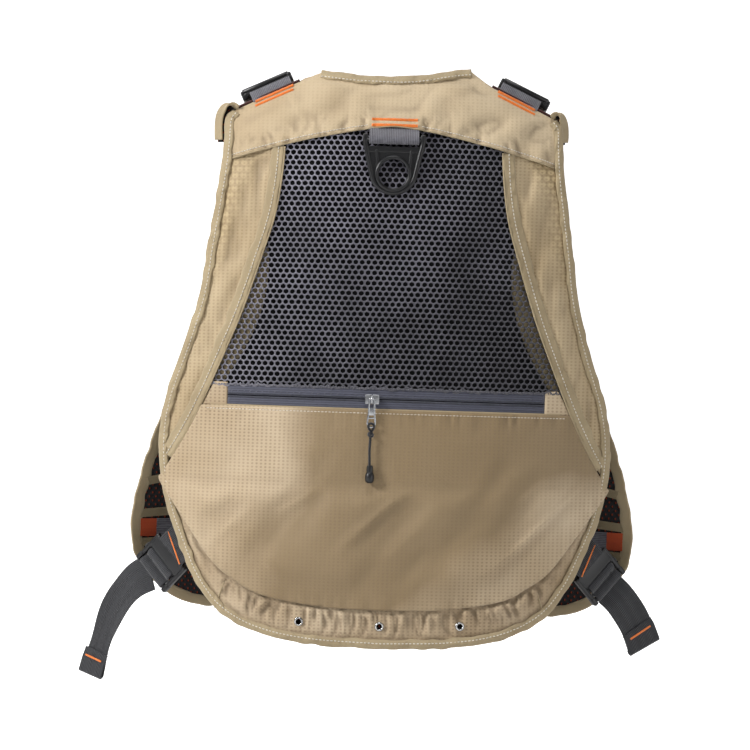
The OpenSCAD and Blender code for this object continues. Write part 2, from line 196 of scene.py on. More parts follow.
# ---------- materials ----------
def srgb(h):
    c = [int(h[i:i + 2], 16) / 255 for i in (1, 3, 5)]
    return [x / 12.92 if x <= 0.04045 else ((x + 0.055) / 1.055) ** 2.4 for x in c] + [1]


class Nodes:
    def __init__(self, name, rough=0.8, sheen=0.0, metal=0.0, spec=0.3):
        self.mat = bpy.data.materials.new(name)
        self.mat.use_nodes = True
        self.t = self.mat.node_tree
        self.bsdf = self.t.nodes["Principled BSDF"]
        b = self.bsdf.inputs
        b["Roughness"].default_value = rough
        b["Metallic"].default_value = metal
        b["Specular IOR Level"].default_value = spec
        b["Sheen Weight"].default_value = sheen
        b["Sheen Roughness"].default_value = 0.5
        self.xy = self.new("ShaderNodeUVMap").outputs[0]
        self.obj = self.new("ShaderNodeTexCoord").outputs["Object"]

    def new(self, kind, **kw):
        n = self.t.nodes.new(kind)
        for k, v in kw.items():
            setattr(n, k, v)
        return n

    def link(self, a, b):
        self.t.links.new(a, b)

    def feed(self, value, socket):
        """A number or a colour sets the socket; anything else is linked to it."""
        if isinstance(value, (int, float, list, tuple)):
            socket.default_value = value
        else:
            self.link(value, socket)

    def math(self, op, a, b=0.0, c=0.0):
        n = self.new("ShaderNodeMath", operation=op)
        for i, v in enumerate((a, b, c)):
            self.feed(v, n.inputs[i])
        return n.outputs[0]

    def add(self, a, b):
        return self.math("ADD", a, b)

    def sub(self, a, b):
        return self.math("SUBTRACT", a, b)

    def mul(self, a, b):
        return self.math("MULTIPLY", a, b)

    def mad(self, a, b, c):
        """a * b + c"""
        return self.math("MULTIPLY_ADD", a, b, c)

    def clamp(self, a):
        return self.math("MINIMUM", self.math("MAXIMUM", a, 0.0), 1.0)

    def mix(self, f, a, b):
        n = self.new("ShaderNodeMix", data_type="RGBA")
        self.feed(f, n.inputs[0])
        self.feed(a, n.inputs[6])
        self.feed(b, n.inputs[7])
        return n.outputs[2]

    def noise(self, scale, detail=3.0, rough=0.5):
        n = self.new("ShaderNodeTexNoise")
        self.link(self.obj, n.inputs["Vector"])
        n.inputs["Scale"].default_value = scale
        n.inputs["Detail"].default_value = detail
        n.inputs["Roughness"].default_value = rough
        return n.outputs["Fac"]

    def split(self, vector):
        n = self.new("ShaderNodeSeparateXYZ")
        self.link(vector, n.inputs[0])
        return n.outputs

    def dots(self, px, pz, rx, rz, soft=0.35, stagger=False):
        """Elliptical spots on a grid in the cloth; pitch and radius in millimetres."""
        u, v = self.split(self.xy)[:2]
        u = self.math("DIVIDE", u, px / 1000)
        v = self.math("DIVIDE", v, pz / 1000)
        if stagger:
            row = self.math("FLOOR", v)
            u = self.add(u, self.math("FRACT", self.mul(row, 0.5)))
        fu = self.sub(self.math("FRACT", u), 0.5)
        fv = self.sub(self.math("FRACT", v), 0.5)
        fu = self.math("DIVIDE", fu, rx / px)
        fv = self.math("DIVIDE", fv, rz / pz)
        r = self.math("SQRT", self.add(self.mul(fu, fu), self.mul(fv, fv)))
        n = self.new("ShaderNodeMapRange", interpolation_type="SMOOTHSTEP")
        self.link(r, n.inputs[0])
        n.inputs[1].default_value = 1 + soft
        n.inputs[2].default_value = 1 - soft
        return n.outputs[0]

    def bands(self, pitch, along="u"):
        """Soft stripes across the cloth's u or v, from 0 to 1."""
        x = self.split(self.xy)[0 if along == "u" else 1]
        s = self.math("SINE", self.mul(x, 2 * math.pi / (pitch / 1000)))
        return self.mad(s, 0.5, 0.5)

    def bump(self, height, dist, strength=1.0):
        n = self.new("ShaderNodeBump")
        self.feed(height, n.inputs["Height"])
        n.inputs["Distance"].default_value = dist / 1000
        n.inputs["Strength"].default_value = strength
        if self.bsdf.inputs["Normal"].is_linked:
            self.link(self.bsdf.inputs["Normal"].links[0].from_socket, n.inputs["Normal"])
        self.link(n.outputs[0], self.bsdf.inputs["Normal"])

    def color(self, value):
        self.feed(value, self.bsdf.inputs["Base Color"])

    def roughness(self, value):
        self.feed(value, self.bsdf.inputs["Roughness"])


# Colours are given from light to dark. Pitches and radii are in millimetres.
def khaki_cloth(name, light="#bba88d", dark="#78634a", deep="#8e7859", contrast=0.85, sheen=0.15,
                lattice=0.0, painted_shade=0.0):
    m = Nodes(name, rough=0.5, sheen=sheen, spec=0.45)
    broad = m.noise(7, 3, 0.5)
    base = m.mix(m.clamp(m.mad(broad, 3.0, -1.0)), srgb(light), srgb(deep))
    across, _, up = m.split(m.obj)
    if lattice:
        # the lining's grid shows through the sheer cloth near the armhole
        cells = m.dots(8.4, 6.6, 3.3, 2.5, 0.3, stagger=True)
        far = m.sub(m.math("ABSOLUTE", across), 0.135)
        where = m.clamp(m.mul(m.mad(up, 0.35, far), 45.0))
        fade_in = m.clamp(m.mad(m.noise(14, 1), 3.0, -0.9))
        where = m.mul(m.mul(where, fade_in), lattice)
        base = m.mix(where, base, m.mix(cells, srgb("#8a744e"), srgb("#c4ae84")))
    if painted_shade:
        # painted shade: dark across the middle and wearer's right, lifted again low on the right
        warp = m.mad(m.noise(9, 2), 0.14, -0.07)
        slant = m.mad(up, 0.35, m.add(across, warp))
        dim = m.clamp(m.mad(slant, -16.0, 0.35))
        corner = m.mad(up, -0.75, m.mad(across, -0.6, -0.33))
        patch = m.clamp(m.mul(m.mad(warp, 0.9, corner), 22.0))
        dim = m.mul(dim, m.sub(1.0, patch))
        base = m.mix(m.mul(dim, painted_shade), base, srgb("#75603f"))
    # painted shade: the cloth darkens towards #5d4b34 in the hollows marked by each sheet's fold
    # attribute
    fold = m.new("ShaderNodeAttribute", attribute_name="fold").outputs["Fac"]
    base = m.mix(m.mul(m.clamp(fold), 0.6), base, srgb("#5d4b34"))
    spots = m.dots(4.5, 3.4, 1.15, 0.95, 0.45)
    fade = m.mad(m.noise(14, 2), 1.4, -0.05)
    base = m.mix(m.mul(m.mul(spots, contrast), fade), base, srgb(dark))
    weave = m.mul(m.bands(0.85, "u"), m.bands(0.7, "v"))
    base = m.mix(m.mul(weave, 0.12), base, srgb("#cdbf9f"))
    m.color(base)
    m.bump(weave, 0.12, 0.5)
    m.bump(m.sub(1.0, spots), 0.22, 0.6)
    m.bump(m.noise(420, 3), 0.25, 0.5)
    m.roughness(m.mad(m.noise(60, 2), 0.2, 0.6))
    return m.mat


def plain_weave(name, light, dark, rough=0.8, sheen=0.2, pitch=0.8, grain=0.3, spec=0.25):
    m = Nodes(name, rough=rough, sheen=sheen, spec=spec)
    weave = m.mul(m.bands(pitch, "u"), m.bands(pitch * 0.85, "v"))
    f = m.add(m.mul(m.noise(30, 4), 0.8), m.mul(weave, grain))
    m.color(m.mix(f, srgb(dark), srgb(light)))
    m.bump(weave, 0.15, 0.7)
    m.bump(m.noise(500, 2), 0.2, 0.4)
    return m.mat


def net_thread(name):
    """Grey thread with painted light and shade: paler high on the wearer's left, towards the key
    light, and darker towards the hem.
    """
    m = Nodes(name, rough=0.36, sheen=0.25, spec=0.6)
    across, _, up = m.split(m.obj)
    # painted light: brighter up and to the wearer's left, where the key light falls, broken up by
    # broad noise
    painted_light = m.add(m.mad(across, 2.4, 0.42), m.mul(up, 2.2))
    painted_light = m.clamp(m.add(painted_light, m.mad(m.noise(16, 2), 1.2, -0.45)))
    weave = m.mul(m.bands(0.5, "u"), m.bands(0.45, "v"))
    m.color(m.mix(m.mad(weave, 0.3, m.mul(painted_light, 0.8)), srgb("#2c2b33"), srgb("#84828f")))
    m.bump(weave, 0.15, 0.7)
    return m.mat


def webbing_cloth(name, light, dark, pitch=1.7):
    m = Nodes(name, rough=0.62, sheen=0.3, spec=0.35)
    ribs = m.bands(pitch, "u")
    cross = m.bands(1.1, "v")
    f = m.add(m.mul(ribs, 0.55), m.mul(cross, 0.2))
    f = m.add(f, m.mad(m.noise(260, 3), 0.5, -0.2))
    m.color(m.mix(f, srgb(dark), srgb(light)))
    m.bump(ribs, 0.35, 0.8)
    m.bump(cross, 0.18, 0.7)
    return m.mat


def air_mesh(name):
    m = Nodes(name, rough=0.85, sheen=0.15, spec=0.15)
    spots = m.dots(6.4, 4.2, 0.75, 1.15, 0.35, stagger=True)
    holes = m.dots(6.4, 4.2, 1.8, 1.5, 0.3, stagger=True)
    base = m.mix(m.noise(40, 3), srgb("#151516"), srgb("#262527"))
    base = m.mix(holes, base, srgb("#0b0b0b"))
    m.color(m.mix(m.mul(spots, 0.7), base, srgb("#8f3a20")))
    m.bump(m.sub(1.0, holes), 0.8, 0.8)
    m.bump(m.noise(700, 2), 0.2, 0.5)
    return m.mat


def moulded(name, color="#17171a", rough=0.38):
    m = Nodes(name, rough=rough, spec=0.5)
    m.color(m.mix(m.noise(90, 3), srgb(color), srgb("#09090b")))
    m.bump(m.noise(900, 2), 0.05, 0.35)
    m.roughness(m.mad(m.noise(45, 3), 0.18, rough - 0.08))
    return m.mat


def metal(name, color, rough=0.22):
    m = Nodes(name, rough=rough, metal=1.0)
    m.color(m.mix(m.noise(120, 3), srgb(color), srgb("#8b8c90")))
    m.roughness(m.mad(m.noise(160, 2), 0.2, rough - 0.06))
    m.bump(m.noise(150, 2), 0.04, 0.3)
    return m.mat


M = {
    "khaki": khaki_cloth("khaki_ripstop"),
    "pocket": khaki_cloth("khaki_pocket", "#bba88d", "#78634a", "#a08b6c", painted_shade=0.85),
    "yoke": khaki_cloth("khaki_yoke", "#bdaa8c", "#8c7858", "#a28d6d", 0.3, 0.2),
    "sheer": khaki_cloth("khaki_sheer", "#b5a283", "#7a6542", "#998462", 0.7, 0.15, 0.7),
    "binding": plain_weave("khaki_binding", "#b0a080", "#87765a", 0.72, 0.2),
    "inner": plain_weave("khaki_inner", "#8d7f62", "#655a44", 0.8, 0.2),
    "maroon": plain_weave("maroon_edge", "#4d2420", "#2c1513", 0.7, 0.2),
    "net": net_thread("net_strand"),
    "backing": plain_weave("net_backing", "#141315", "#08080a", 0.9, 0.1),
    "lining": air_mesh("air_mesh"),
    "zip": webbing_cloth("zip_tape", "#4f5160", "#31323f", 2.4),
    "coil": moulded("zip_coil", "#4b4c58", 0.45),
    "web": webbing_cloth("webbing_dark", "#303136", "#131316"),
    "web_light": webbing_cloth("webbing_grey", "#77767e", "#302f36", 1.9),
    "orange": webbing_cloth("orange_thread", "#ff973f", "#f0701e", 0.9),
    "brick": plain_weave("brick_webbing", "#b8481d", "#8f3512", 0.75, 0.2),
    "thread": plain_weave("white_thread", "#e6e0d4", "#b5ab9a", 0.6, 0.2, 0.4),
    "plastic": moulded("black_plastic", "#0e0e11", 0.34),
    "cord": plain_weave("black_cord", "#2a2a2d", "#0f0f11", 0.55, 0.3, 0.9, 0.7),
    "steel": metal("steel", "#d7d9dc", 0.2),
    "nickel": metal("nickel", "#dcdcd8", 0.14),
}


# ---------- mesh building ----------
def make(name, v, f, body, mat, uv=None, smooth=True, stands=(), to=None,
         recalc=False):
    """A piece from points in mm; to() moves them first, and recalc turns all faces outwards."""
    v = to(v) if to else v
    me = bpy.data.meshes.new(name)
    me.from_pydata(place(v).tolist(), [], [tuple(int(i) for i in q) for q in f])
    me.validate(clean_customdata=False)
    ob = bpy.data.objects.new(name, me)
    bpy.context.scene.collection.objects.link(ob)
    if uv is None:
        box_uv(ob)
    else:
        layer = me.uv_layers.new(name="UVMap")
        idx = np.empty(len(me.loops), np.int32)
        me.loops.foreach_get("vertex_index", idx)
        layer.data.foreach_set("uv", (np.asarray(uv, float)[idx] / 1000).ravel())
    me.polygons.foreach_set("use_smooth", [smooth] * len(me.polygons))
    me.materials.append(M[mat])
    if stands:
        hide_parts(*stands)
    if recalc:
        fix_normals(ob)
    if body:
        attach(ob, body)
    return ob


def box_uv(ob):
    """UVs in metres, each face seen along its main axis."""
    me = ob.data
    layer = me.uv_layers.get("UVMap") or me.uv_layers.new(name="UVMap")
    co = np.array([v.co for v in me.vertices])
    out = np.zeros((len(me.loops), 2))
    for p in me.polygons:
        n = np.abs(np.array(p.normal))
        ax = {0: (1, 2), 1: (0, 2), 2: (0, 1)}[int(np.argmax(n))]
        for li in p.loop_indices:
            c = co[me.loops[li].vertex_index]
            out[li] = c[ax[0]], c[ax[1]]
    layer.data.foreach_set("uv", out.ravel())


def fix_normals(ob):
    bm = bmesh.new()
    bm.from_mesh(ob.data)
    bmesh.ops.recalc_face_normals(bm, faces=bm.faces)
    bm.to_mesh(ob.data)
    bm.free()


def grid_in(poly, step, snap_in=0.72):
    """A square grid clipped to an outline; points within snap_in steps of it move onto it."""
    lo, hi = poly.min(0) - step, poly.max(0) + step
    nx, nz = (np.ceil((hi - lo) / step)).astype(int) + 1
    x, z = lo[0] + np.arange(nx) * step, lo[1] + np.arange(nz) * step
    p = np.stack(np.meshgrid(x, z, indexing="ij"), -1).reshape(-1, 2)
    sd, near = poly_distance(p, poly)
    ok = sd < snap_in * step
    idx = np.arange(nx * nz).reshape(nx, nz)
    q = np.stack([idx[:-1, :-1], idx[1:, :-1], idx[1:, 1:], idx[:-1, 1:]], -1).reshape(-1, 4)
    q = q[ok[q].all(1)]
    snap = np.abs(sd) < snap_in * step
    count = np.zeros(len(p), int)
    np.add.at(count, q.ravel(), 1)
    snap &= (count < 4)
    p = np.where(snap[:, None], near, p)
    used = np.unique(q)
    remap = -np.ones(len(p), int)
    remap[used] = np.arange(len(used))
    return p[used], remap[q], sd[used]


def close_sheet(q, n):
    """Faces for an outer layer, an inner layer n vertices later, and the rim between them."""
    edges = {(a, b): True for f in q for a, b in zip(f, np.roll(f, -1))}
    rim = [(a, b) for (a, b) in edges if (b, a) not in edges]
    faces = [tuple(f) for f in q] + [tuple(f[::-1] + n) for f in q]
    return faces + [(b, a, a + n, b + n) for a, b in rim]


def sheet(name, poly, step, surf, out, thick, body, mat, stands=(), side=1,
          holes=()):
    """A cloth panel: surf(x, z, d) at distance out(x, z, edge), closed with a back face.

    Its "fold" attribute is high in the hollows, where the khaki materials paint shade.
    """
    p, q, sd = grid_in(poly, step)
    for hx, hz, hr in holes:
        away = np.hypot(*(p - [hx, hz]).T)
        q = q[np.hypot(*(p[q].mean(1) - [hx, hz]).T) > hr]
        count = np.zeros(len(p), int)
        np.add.at(count, q.ravel(), 1)
        rim = (count < 4) & (away < hr + 1.5 * step)
        p[rim] = [hx, hz] + (p[rim] - [hx, hz]) * (hr / away[rim])[:, None]
    d = out(p[:, 0], p[:, 1], -sd) if callable(out) else np.full(len(p), float(out))
    a = surf(p[:, 0], p[:, 1], d)
    b = surf(p[:, 0], p[:, 1], d - thick)
    v = np.vstack([a, b])
    if side < 0:
        v = v * [-1, 1, 1]
    ob = make(name, v, close_sheet(q, len(p)), body, mat, uv=np.vstack([p, p]),
              stands=stands, recalc=True)
    if callable(out):
        x, z, e = p[:, 0], p[:, 1], -sd
        # how far each point lies below its neighbours, for the painted shade in the hollows
        around = sum(out(x + dx, z + dz, e) for dx, dz in ((5, 0), (-5, 0), (0, 4), (0, -4))) / 4
        fold = np.clip((around - d) * 1.2, 0, 1)
        layer = ob.data.attributes.new("fold", "FLOAT", "POINT")
        layer.data.foreach_set("value", np.tile(fold, 2))
    return ob


def tube(k, m, closed=False):
    """Faces joining k rings of m points, with end caps unless the tube is closed."""
    idx = np.arange(k * m).reshape(k, m)
    nxt = np.roll(idx, -1, 1)
    f = []
    for i in range(k if closed else k - 1):
        j = (i + 1) % k
        f += list(zip(idx[i], nxt[i], nxt[j], idx[j]))
    return f if closed else f + [tuple(idx[0][::-1]), tuple(idx[-1])]


def tube_uv(s, prof):
    """UVs that run round a tube's profile and along its length."""
    shape = (len(s), len(prof))
    return np.stack([np.broadcast_to(lengths(prof), shape),
                     np.broadcast_to(s[:, None], shape)], -1).reshape(-1, 2)


def sweep(name, path, normal, profile, body, mat, closed=False, stands=(),
          change=None, to=None):
    """profile is a closed list of (across, up) pairs; change(s, profile) may vary it."""
    path = np.asarray(path, float)
    t = unit(np.gradient(path, axis=0))
    n = np.asarray(normal, float)
    n = unit(n - (n * t).sum(1)[:, None] * t)
    b = np.cross(n, t)
    s = lengths(path)
    prof = np.asarray(profile, float)
    v = np.zeros((len(path), len(prof), 3))
    for i in range(len(path)):
        pr = change(s[i], prof) if change else prof
        v[i] = path[i] + pr[:, :1] * b[i] + pr[:, 1:] * n[i]
    return make(name, v.reshape(-1, 3), tube(len(path), len(prof), closed), body, mat,
                uv=tube_uv(s, prof), stands=stands, to=to, recalc=True)


def webbing_profile(width, thick=1.6, pitch=1.7, rib=0.16, seg=4):
    """A webbing's ribbed section with rounded edges."""
    n = int(width / pitch) * seg
    u = np.linspace(-width / 2, width / 2, n + 1)
    edge = np.clip((width / 2 - np.abs(u)) / (thick * 0.6), 0, 1)
    h = thick / 2 * np.sqrt(1 - (1 - edge) ** 2 * 0.85)
    wave = rib * np.cos(2 * math.pi * u / pitch) * edge
    top = np.stack([u, h + wave], 1)
    low = np.stack([u, -h - wave], 1)[::-1]
    return np.vstack([top, low])


BEAD_SIDES = 6


def bead_faces(count, rings=4):
    """Faces of many small closed beads, each of a few rings of BEAD_SIDES points."""
    f = []
    for base in range(0, count * rings * BEAD_SIDES, rings * BEAD_SIDES):
        for a in range(rings - 1):
            low, high = base + a * BEAD_SIDES, base + (a + 1) * BEAD_SIDES
            for j in range(BEAD_SIDES):
                k = (j + 1) % BEAD_SIDES
                f.append((low + j, low + k, high + k, high + j))
        last = base + (rings - 1) * BEAD_SIDES
        f.append(tuple(base + j for j in range(BEAD_SIDES))[::-1])
        f.append(tuple(last + j for j in range(BEAD_SIDES)))
    return f


def bead_angles():
    return [2 * math.pi * j / BEAD_SIDES for j in range(BEAD_SIDES)]


def stitches(name, path, normal, body, pitch=4.0, length=2.6, r=0.36, lift=0.25, mat="thread",
             to=None):
    """A row of rounded thread stitches along a path."""
    path, normal = np.asarray(path, float), np.asarray(normal, float)
    s = lengths(path)
    count = max(2, int(s[-1] / pitch))
    at = (np.arange(count) + 0.5) * s[-1] / count
    along = lambda where, line: np.stack([np.interp(where, s, line[:, k]) for k in range(3)], 1)
    pos, nor = along(at, path), along(at, normal)
    tan = unit(along(at + 0.5, path) - along(at - 0.5, path))
    nor = unit(nor - (nor * tan).sum(1)[:, None] * tan)
    bi = np.cross(nor, tan)
    v = []
    for i in range(count):
        for a, w in ((-0.5, 0.35), (-0.3, 1.0), (0.3, 1.0), (0.5, 0.35)):
            c = pos[i] + tan[i] * a * length + nor[i] * (lift - (1 - w) * r)
            for g in bead_angles():
                v.append(c + (bi[i] * math.cos(g) * r * w * 1.2 + nor[i] * math.sin(g) * r * w))
    return make(name, np.array(v), bead_faces(count), body, mat, to=to)


class Solid:
    """Rounded boxes, rods and rings collected in one mesh."""

    def __init__(self):
        self.bm = bmesh.new()

    def box(self, size, at, matrix=None, r=0.6, seg=2):
        g = bmesh.ops.create_cube(self.bm, size=1)["verts"]
        for v in g:
            v.co = Vector((v.co.x * size[0], v.co.y * size[1], v.co.z * size[2]))
        edges = list({e for v in g for e in v.link_edges})
        b = bmesh.ops.bevel(self.bm, geom=edges, offset=r, segments=seg, profile=0.6,
                            affect="EDGES")
        verts = set(g) | set(b["verts"])
        self._move([v for v in verts if v.is_valid], at, matrix)

    def lathe(self, profile, at, matrix=None, seg=32):
        """profile of (radius, height) turned about z; closed ends where the radius is 0."""
        rows = []
        for r, h in profile:
            if r < 1e-6:
                rows.append([self.bm.verts.new((0, 0, h))])
            else:
                turn = [2 * math.pi * j / seg for j in range(seg)]
                rows.append([self.bm.verts.new((r * math.cos(g), r * math.sin(g), h))
                             for g in turn])
        for a, b in zip(rows, rows[1:]):
            for j in range(seg):
                k = (j + 1) % seg
                if len(a) == 1 and len(b) == 1:
                    continue
                if len(a) == 1:
                    self.bm.faces.new((a[0], b[k], b[j]))
                elif len(b) == 1:
                    self.bm.faces.new((a[j], a[k], b[0]))
                else:
                    self.bm.faces.new((a[j], a[k], b[k], b[j]))
        self._move([v for row in rows for v in row], at, matrix)

    def rod(self, r, length, at, matrix=None, seg=24, e=0.4):
        """A rod along z whose ends are rounded by e."""
        h = length / 2
        self.lathe([(0, -h), (r - e, -h), (r, -h + e), (r, h - e), (r - e, h), (0, h)],
                   at, matrix, seg)

    def _move(self, verts, at, matrix):
        m = Matrix.Translation(Vector(at)) @ (matrix.to_4x4() if matrix else Matrix.Identity(4))
        for v in verts:
            v.co = m @ v.co

    def done(self, name, transform, body, mat, stands=(), angle=40):
        """transform maps (n, 3) local points to millimetres about the wearer's axis."""
        bmesh.ops.remove_doubles(self.bm, verts=self.bm.verts, dist=1e-4)
        bmesh.ops.recalc_face_normals(self.bm, faces=self.bm.faces)
        self.bm.verts.ensure_lookup_table()
        self.bm.verts.index_update()
        v = np.array([x.co for x in self.bm.verts])
        f = [[x.index for x in q.verts] for q in self.bm.faces]
        self.bm.free()
        ob = make(name, transform(v), f, body, mat, stands=stands, recalc=True)
        ob.data.set_sharp_from_angle(angle=math.radians(angle))


def rot(axis, deg):
    return Matrix.Rotation(math.radians(deg), 3, axis)


def mapper(matrix, at, side=1):
    """A function that turns local points by matrix, moves them to at and mirrors them."""
    m, at = np.array(matrix), np.asarray(at, float)
    return lambda v: (np.asarray(v, float).reshape(-1, 3) @ m.T + at) * [side, 1, 1]


# ---------- straps, rods and stitched bars ----------
def strap(name, path, across, width, body, mat="web", thick=1.5, pitch=1.9,
          rib=0.16, stands=(), to=None, step=1.4):
    """Webbing along a path; across is the direction of its width, one or one per point."""
    path = np.asarray(path, float)
    across = np.broadcast_to(np.asarray(across, float), path.shape)
    line = resample(np.hstack([path, across]), step)
    path, across = line[:, :3], unit(line[:, 3:])
    t = unit(np.gradient(path, axis=0))
    return sweep(name, path, np.cross(across, t), webbing_profile(width, thick, pitch, rib), body,
                 mat, stands=stands, to=to)


def arc_points(cx, cy, r, a0, a1, n=12):
    g = np.radians(np.linspace(a0, a1, n))
    return np.stack([cx + r * np.cos(g), cy + r * np.sin(g)], 1)


def lift3(p2, plane="xy", c=0.0):
    """Points in a plane as 3-D points; the other coordinate is c."""
    return np.insert(np.asarray(p2, float), {"xy": 2, "xz": 1, "yz": 0}[plane], c, axis=1)


def round_profile(rx, ry, n=12):
    g = np.linspace(0, 2 * math.pi, n + 1)[:-1]
    return np.stack([rx * np.cos(g), ry * np.sin(g)], 1)


PIPE = round_profile(0.8, 0.9, 8)


def wire(name, path, rx, ry, normal, body, mat, closed=False, to=None, stands=(), n=12):
    """A cord or rod of elliptical section along a path."""
    normal = np.broadcast_to(np.asarray(normal, float), np.shape(path))
    return sweep(name, path, normal, round_profile(rx, ry, n), body, mat, closed=closed,
                 to=to, stands=stands)


def satin(name, path, normal, width, body, to=None, seed=80, stands=()):
    """A dense zigzag bar of thread with ragged long edges."""
    prof = np.array([(-0.5, 0.0), (-0.44, 0.45), (-0.2, 0.7), (0.2, 0.7), (0.44, 0.45),
                     (0.5, 0.0), (0.3, -0.5), (-0.3, -0.5)]) * [width, 1.0]

    def change(s, pr):
        k = int(round(s / 0.3))
        w = 1 + 0.1 * math.sin(k * 2.1) + 0.12 * float(noise2(k * 0.37, 3, seed))
        return pr * [w, 1 + 0.28 * math.cos(k * math.pi)]

    line = resample(np.hstack([path, normal]), 0.3)
    return sweep(name, line[:, :3], line[:, 3:], prof, body, "orange", to=to,
                 change=change, stands=stands)


def on_back(x, z, out, extra, poly):
    """Points resting on a back panel whose outline is poly, and the way out of the cloth."""
    return on_surface(back_xyz, x, z,
                      out(x, z, -poly_distance(np.stack([x, z], 1), poly)[0]) + extra)


# ---------- outlines: half width (or distance from the middle) and height ----------
NECK = [(0, 578), (40, 579), (76, 583)]
ARM = [(166, 541), (172, 531), (173, 505), (176, 470), (186, 403), (193, 353), (207, 303),
       (224, 253), (231, 215), (230, 175), (221, 133), (205, 93), (190, 62), (166, 33), (128, 13),
       (75, 3), (0, 0)]
MESH_SIDE = [(109, 530), (111, 480), (117, 435), (130, 390), (148, 335), (166, 290),
             (186, 243), (205, 205), (229, 165), (240, 145)]
POCKET_LOW = [(240, 186), (229, 160), (217, 143), (197, 115), (172, 82), (150, 65), (120, 50),
              (60, 41), (0, 39)]
FRONT = [(114.3, 452), (135, 410), (165, 362), (195, 312), (220, 262), (238, 215), (251, 170),
         (259, 135), (261, 107), (255, 79), (239, 55), (216, 36), (187, 26), (150, 27)]
YOKE_CORNER = [(98, 572.7)]

neck, arm = smooth_path(NECK), smooth_path(ARM)
mesh_side, pocket_low = smooth_path(MESH_SIDE), smooth_path(POCKET_LOW)
front_edge = smooth_path(FRONT)


def neck_rise(p):
    """The neck edge stands a little higher on the wearer's right."""
    lift = 6.5 * step01(-p[:, 0], 5, 66) * step01(p[:, 1], 574, 578)
    return p + np.stack([0 * lift, lift], 1)


outline = neck_rise(both(np.vstack([neck, YOKE_CORNER, arm])))


def yoke_low(x):
    """Height of the yoke's lower edge."""
    return 524 - 36 * (np.abs(x) / 168) ** 1.4


def side_x(z):
    """Half width of the mesh panel at height z."""
    return np.interp(-np.asarray(z, float), -mesh_side[:, 1], mesh_side[:, 0])


def low_z(x):
    """Height of the back pocket's lower edge."""
    return np.interp(np.abs(x), pocket_low[::-1, 0], pocket_low[::-1, 1])


def clip_curve(poly, curve, above):
    """Keeps the part of an outline above or below z = curve(x), and follows the curve between."""
    way = 1 if above else -1
    g = way * (poly[:, 1] - curve(poly[:, 0]))
    start = int(np.argmax(g))
    poly, g = np.roll(poly, -start, 0), np.roll(g, -start)
    out, left_at = [], None
    for a, b, ga, gb in zip(poly, np.roll(poly, -1, 0), g, np.roll(g, -1)):
        if ga >= 0:
            out.append(a)
        if (ga >= 0) != (gb >= 0):
            c = a + (b - a) * ga / (ga - gb)
            if ga >= 0:
                left_at = c
            else:
                xs = np.linspace(left_at[0], c[0], 3 + int(abs(c[0] - left_at[0]) / 4))
                out += list(np.stack([xs, curve(xs)], 1))
    return np.array(out)


def inset(poly, d):
    """Moves a closed outline inwards by d."""
    p = resample(np.vstack([poly, poly[:1]]), 6)[:-1]
    t = unit(np.roll(p, -1, 0) - np.roll(p, 1, 0))
    n = np.stack([-t[:, 1], t[:, 0]], 1)
    area = 0.5 * np.sum(p[:, 0] * np.roll(p[:, 1], -1) - np.roll(p[:, 0], -1) * p[:, 1])
    return p + n * d * (1 if area > 0 else -1)


# ---------- back: lining ----------
def soft(x, z, seed, big, amp, fine):
    """Gentle quilting for linings."""
    return amp * noise2(x / big, z / big, seed) + fine * noise2(x / 7, z / 7, seed + 1)


# three hem eyelets, 81 mm apart round the hem
EYELETS = [(math.sin(2 * k * math.asin(40.5 / WRAP)) * WRAP, 23 + 2 * abs(k)) for k in (-1, 0, 1)]
sheet("padded_back", inset(outline, 2.5), 4, back_xyz,
      lambda x, z, e: -3.0 + soft(x, z, 3, 30, 0.5, 0.1), 2.6, "back", "lining",
      ("back_lining",))


# ---------- back: yoke, side panels, pocket, hem ----------
yoke_poly = clip_curve(inset(outline, 2.5), yoke_low, True)


def yoke_out(x, z, e):
    """Puckers by the lower seam, pulls and rolls above it, and the bump of the loop's tab."""
    near = np.exp(-((z - yoke_low(x)) / 15) ** 2)
    free = step01(e, 3, 16) * (1 - step01(z, 566, 576)) + near * step01(178 - np.abs(x), 14, 24)
    pucker = 1.7 * near * ridge(x / 5.5 + noise2(x / 30, z / 20, 5), z / 22, 6)
    pull = 3.4 * np.exp(-((z - 532) / 24) ** 2) * np.exp(-((np.abs(x) - 36) / 11) ** 2)
    rolls = 3.6 * noise2(x / 31 + z / 44, z / 25, 7) * step01(z, 498, 530)
    rolls = rolls + 1.1 * ridge(x / 24 - z / 40, z / 60, 9) * step01(np.abs(x), 40, 80)
    tab = 1.9 * step01(30 - np.abs(x), 0, 5) * step01(545 - z, 0, 12)
    tab = tab + 3.6 * step01(31 - np.abs(x), 0, 5) * np.exp(-((z - 524) / 8) ** 2)
    pucker = pucker * (1 - 0.9 * np.exp(-(x / 28) ** 4))
    lift = pucker + pull + np.clip(rolls, -1.2, 9) + 1.4 + 0.6 * near
    return 0.8 + np.clip(free, 0, 1) * np.clip(lift, -0.3, 9) + tab


sheet("yoke_cloth", yoke_poly, 2.2, back_xyz, yoke_out, 1.3, "back", "yoke",
      stands=("back_yoke",))


def side_out(x, z, e):
    folds = 2.6 * noise2(x / 17 + z / 60, z / 44, 11) + 1.1 * noise2(x / 9, z / 22, 12)
    wide = step01(e, 8, 17)
    return 0.2 + wide * (1.0 + folds) + 0.35 * ridge(x / 30, z / 9, 13) * (1 - wide)


def side_poly(sign):
    z = np.linspace(507, 172, 60)
    inner = np.stack([side_x(z) + 1, z], 1)
    outer = arm[(arm[:, 1] < 491) & (arm[:, 1] > 176)] - [2.5, 0]
    x = np.linspace(171, 113, 15)
    top = np.stack([x, yoke_low(x) + 4], 1)
    return np.vstack([inner, outer[::-1], top]) * [sign, 1]


for sign, side in SIDES:
    sheet("side_cloth_" + side, side_poly(sign), 2.4, back_xyz, side_out, 1.0, "back", "sheer",
          stands=("side_panel_" + side,))

POCKET_TOP = 239.5


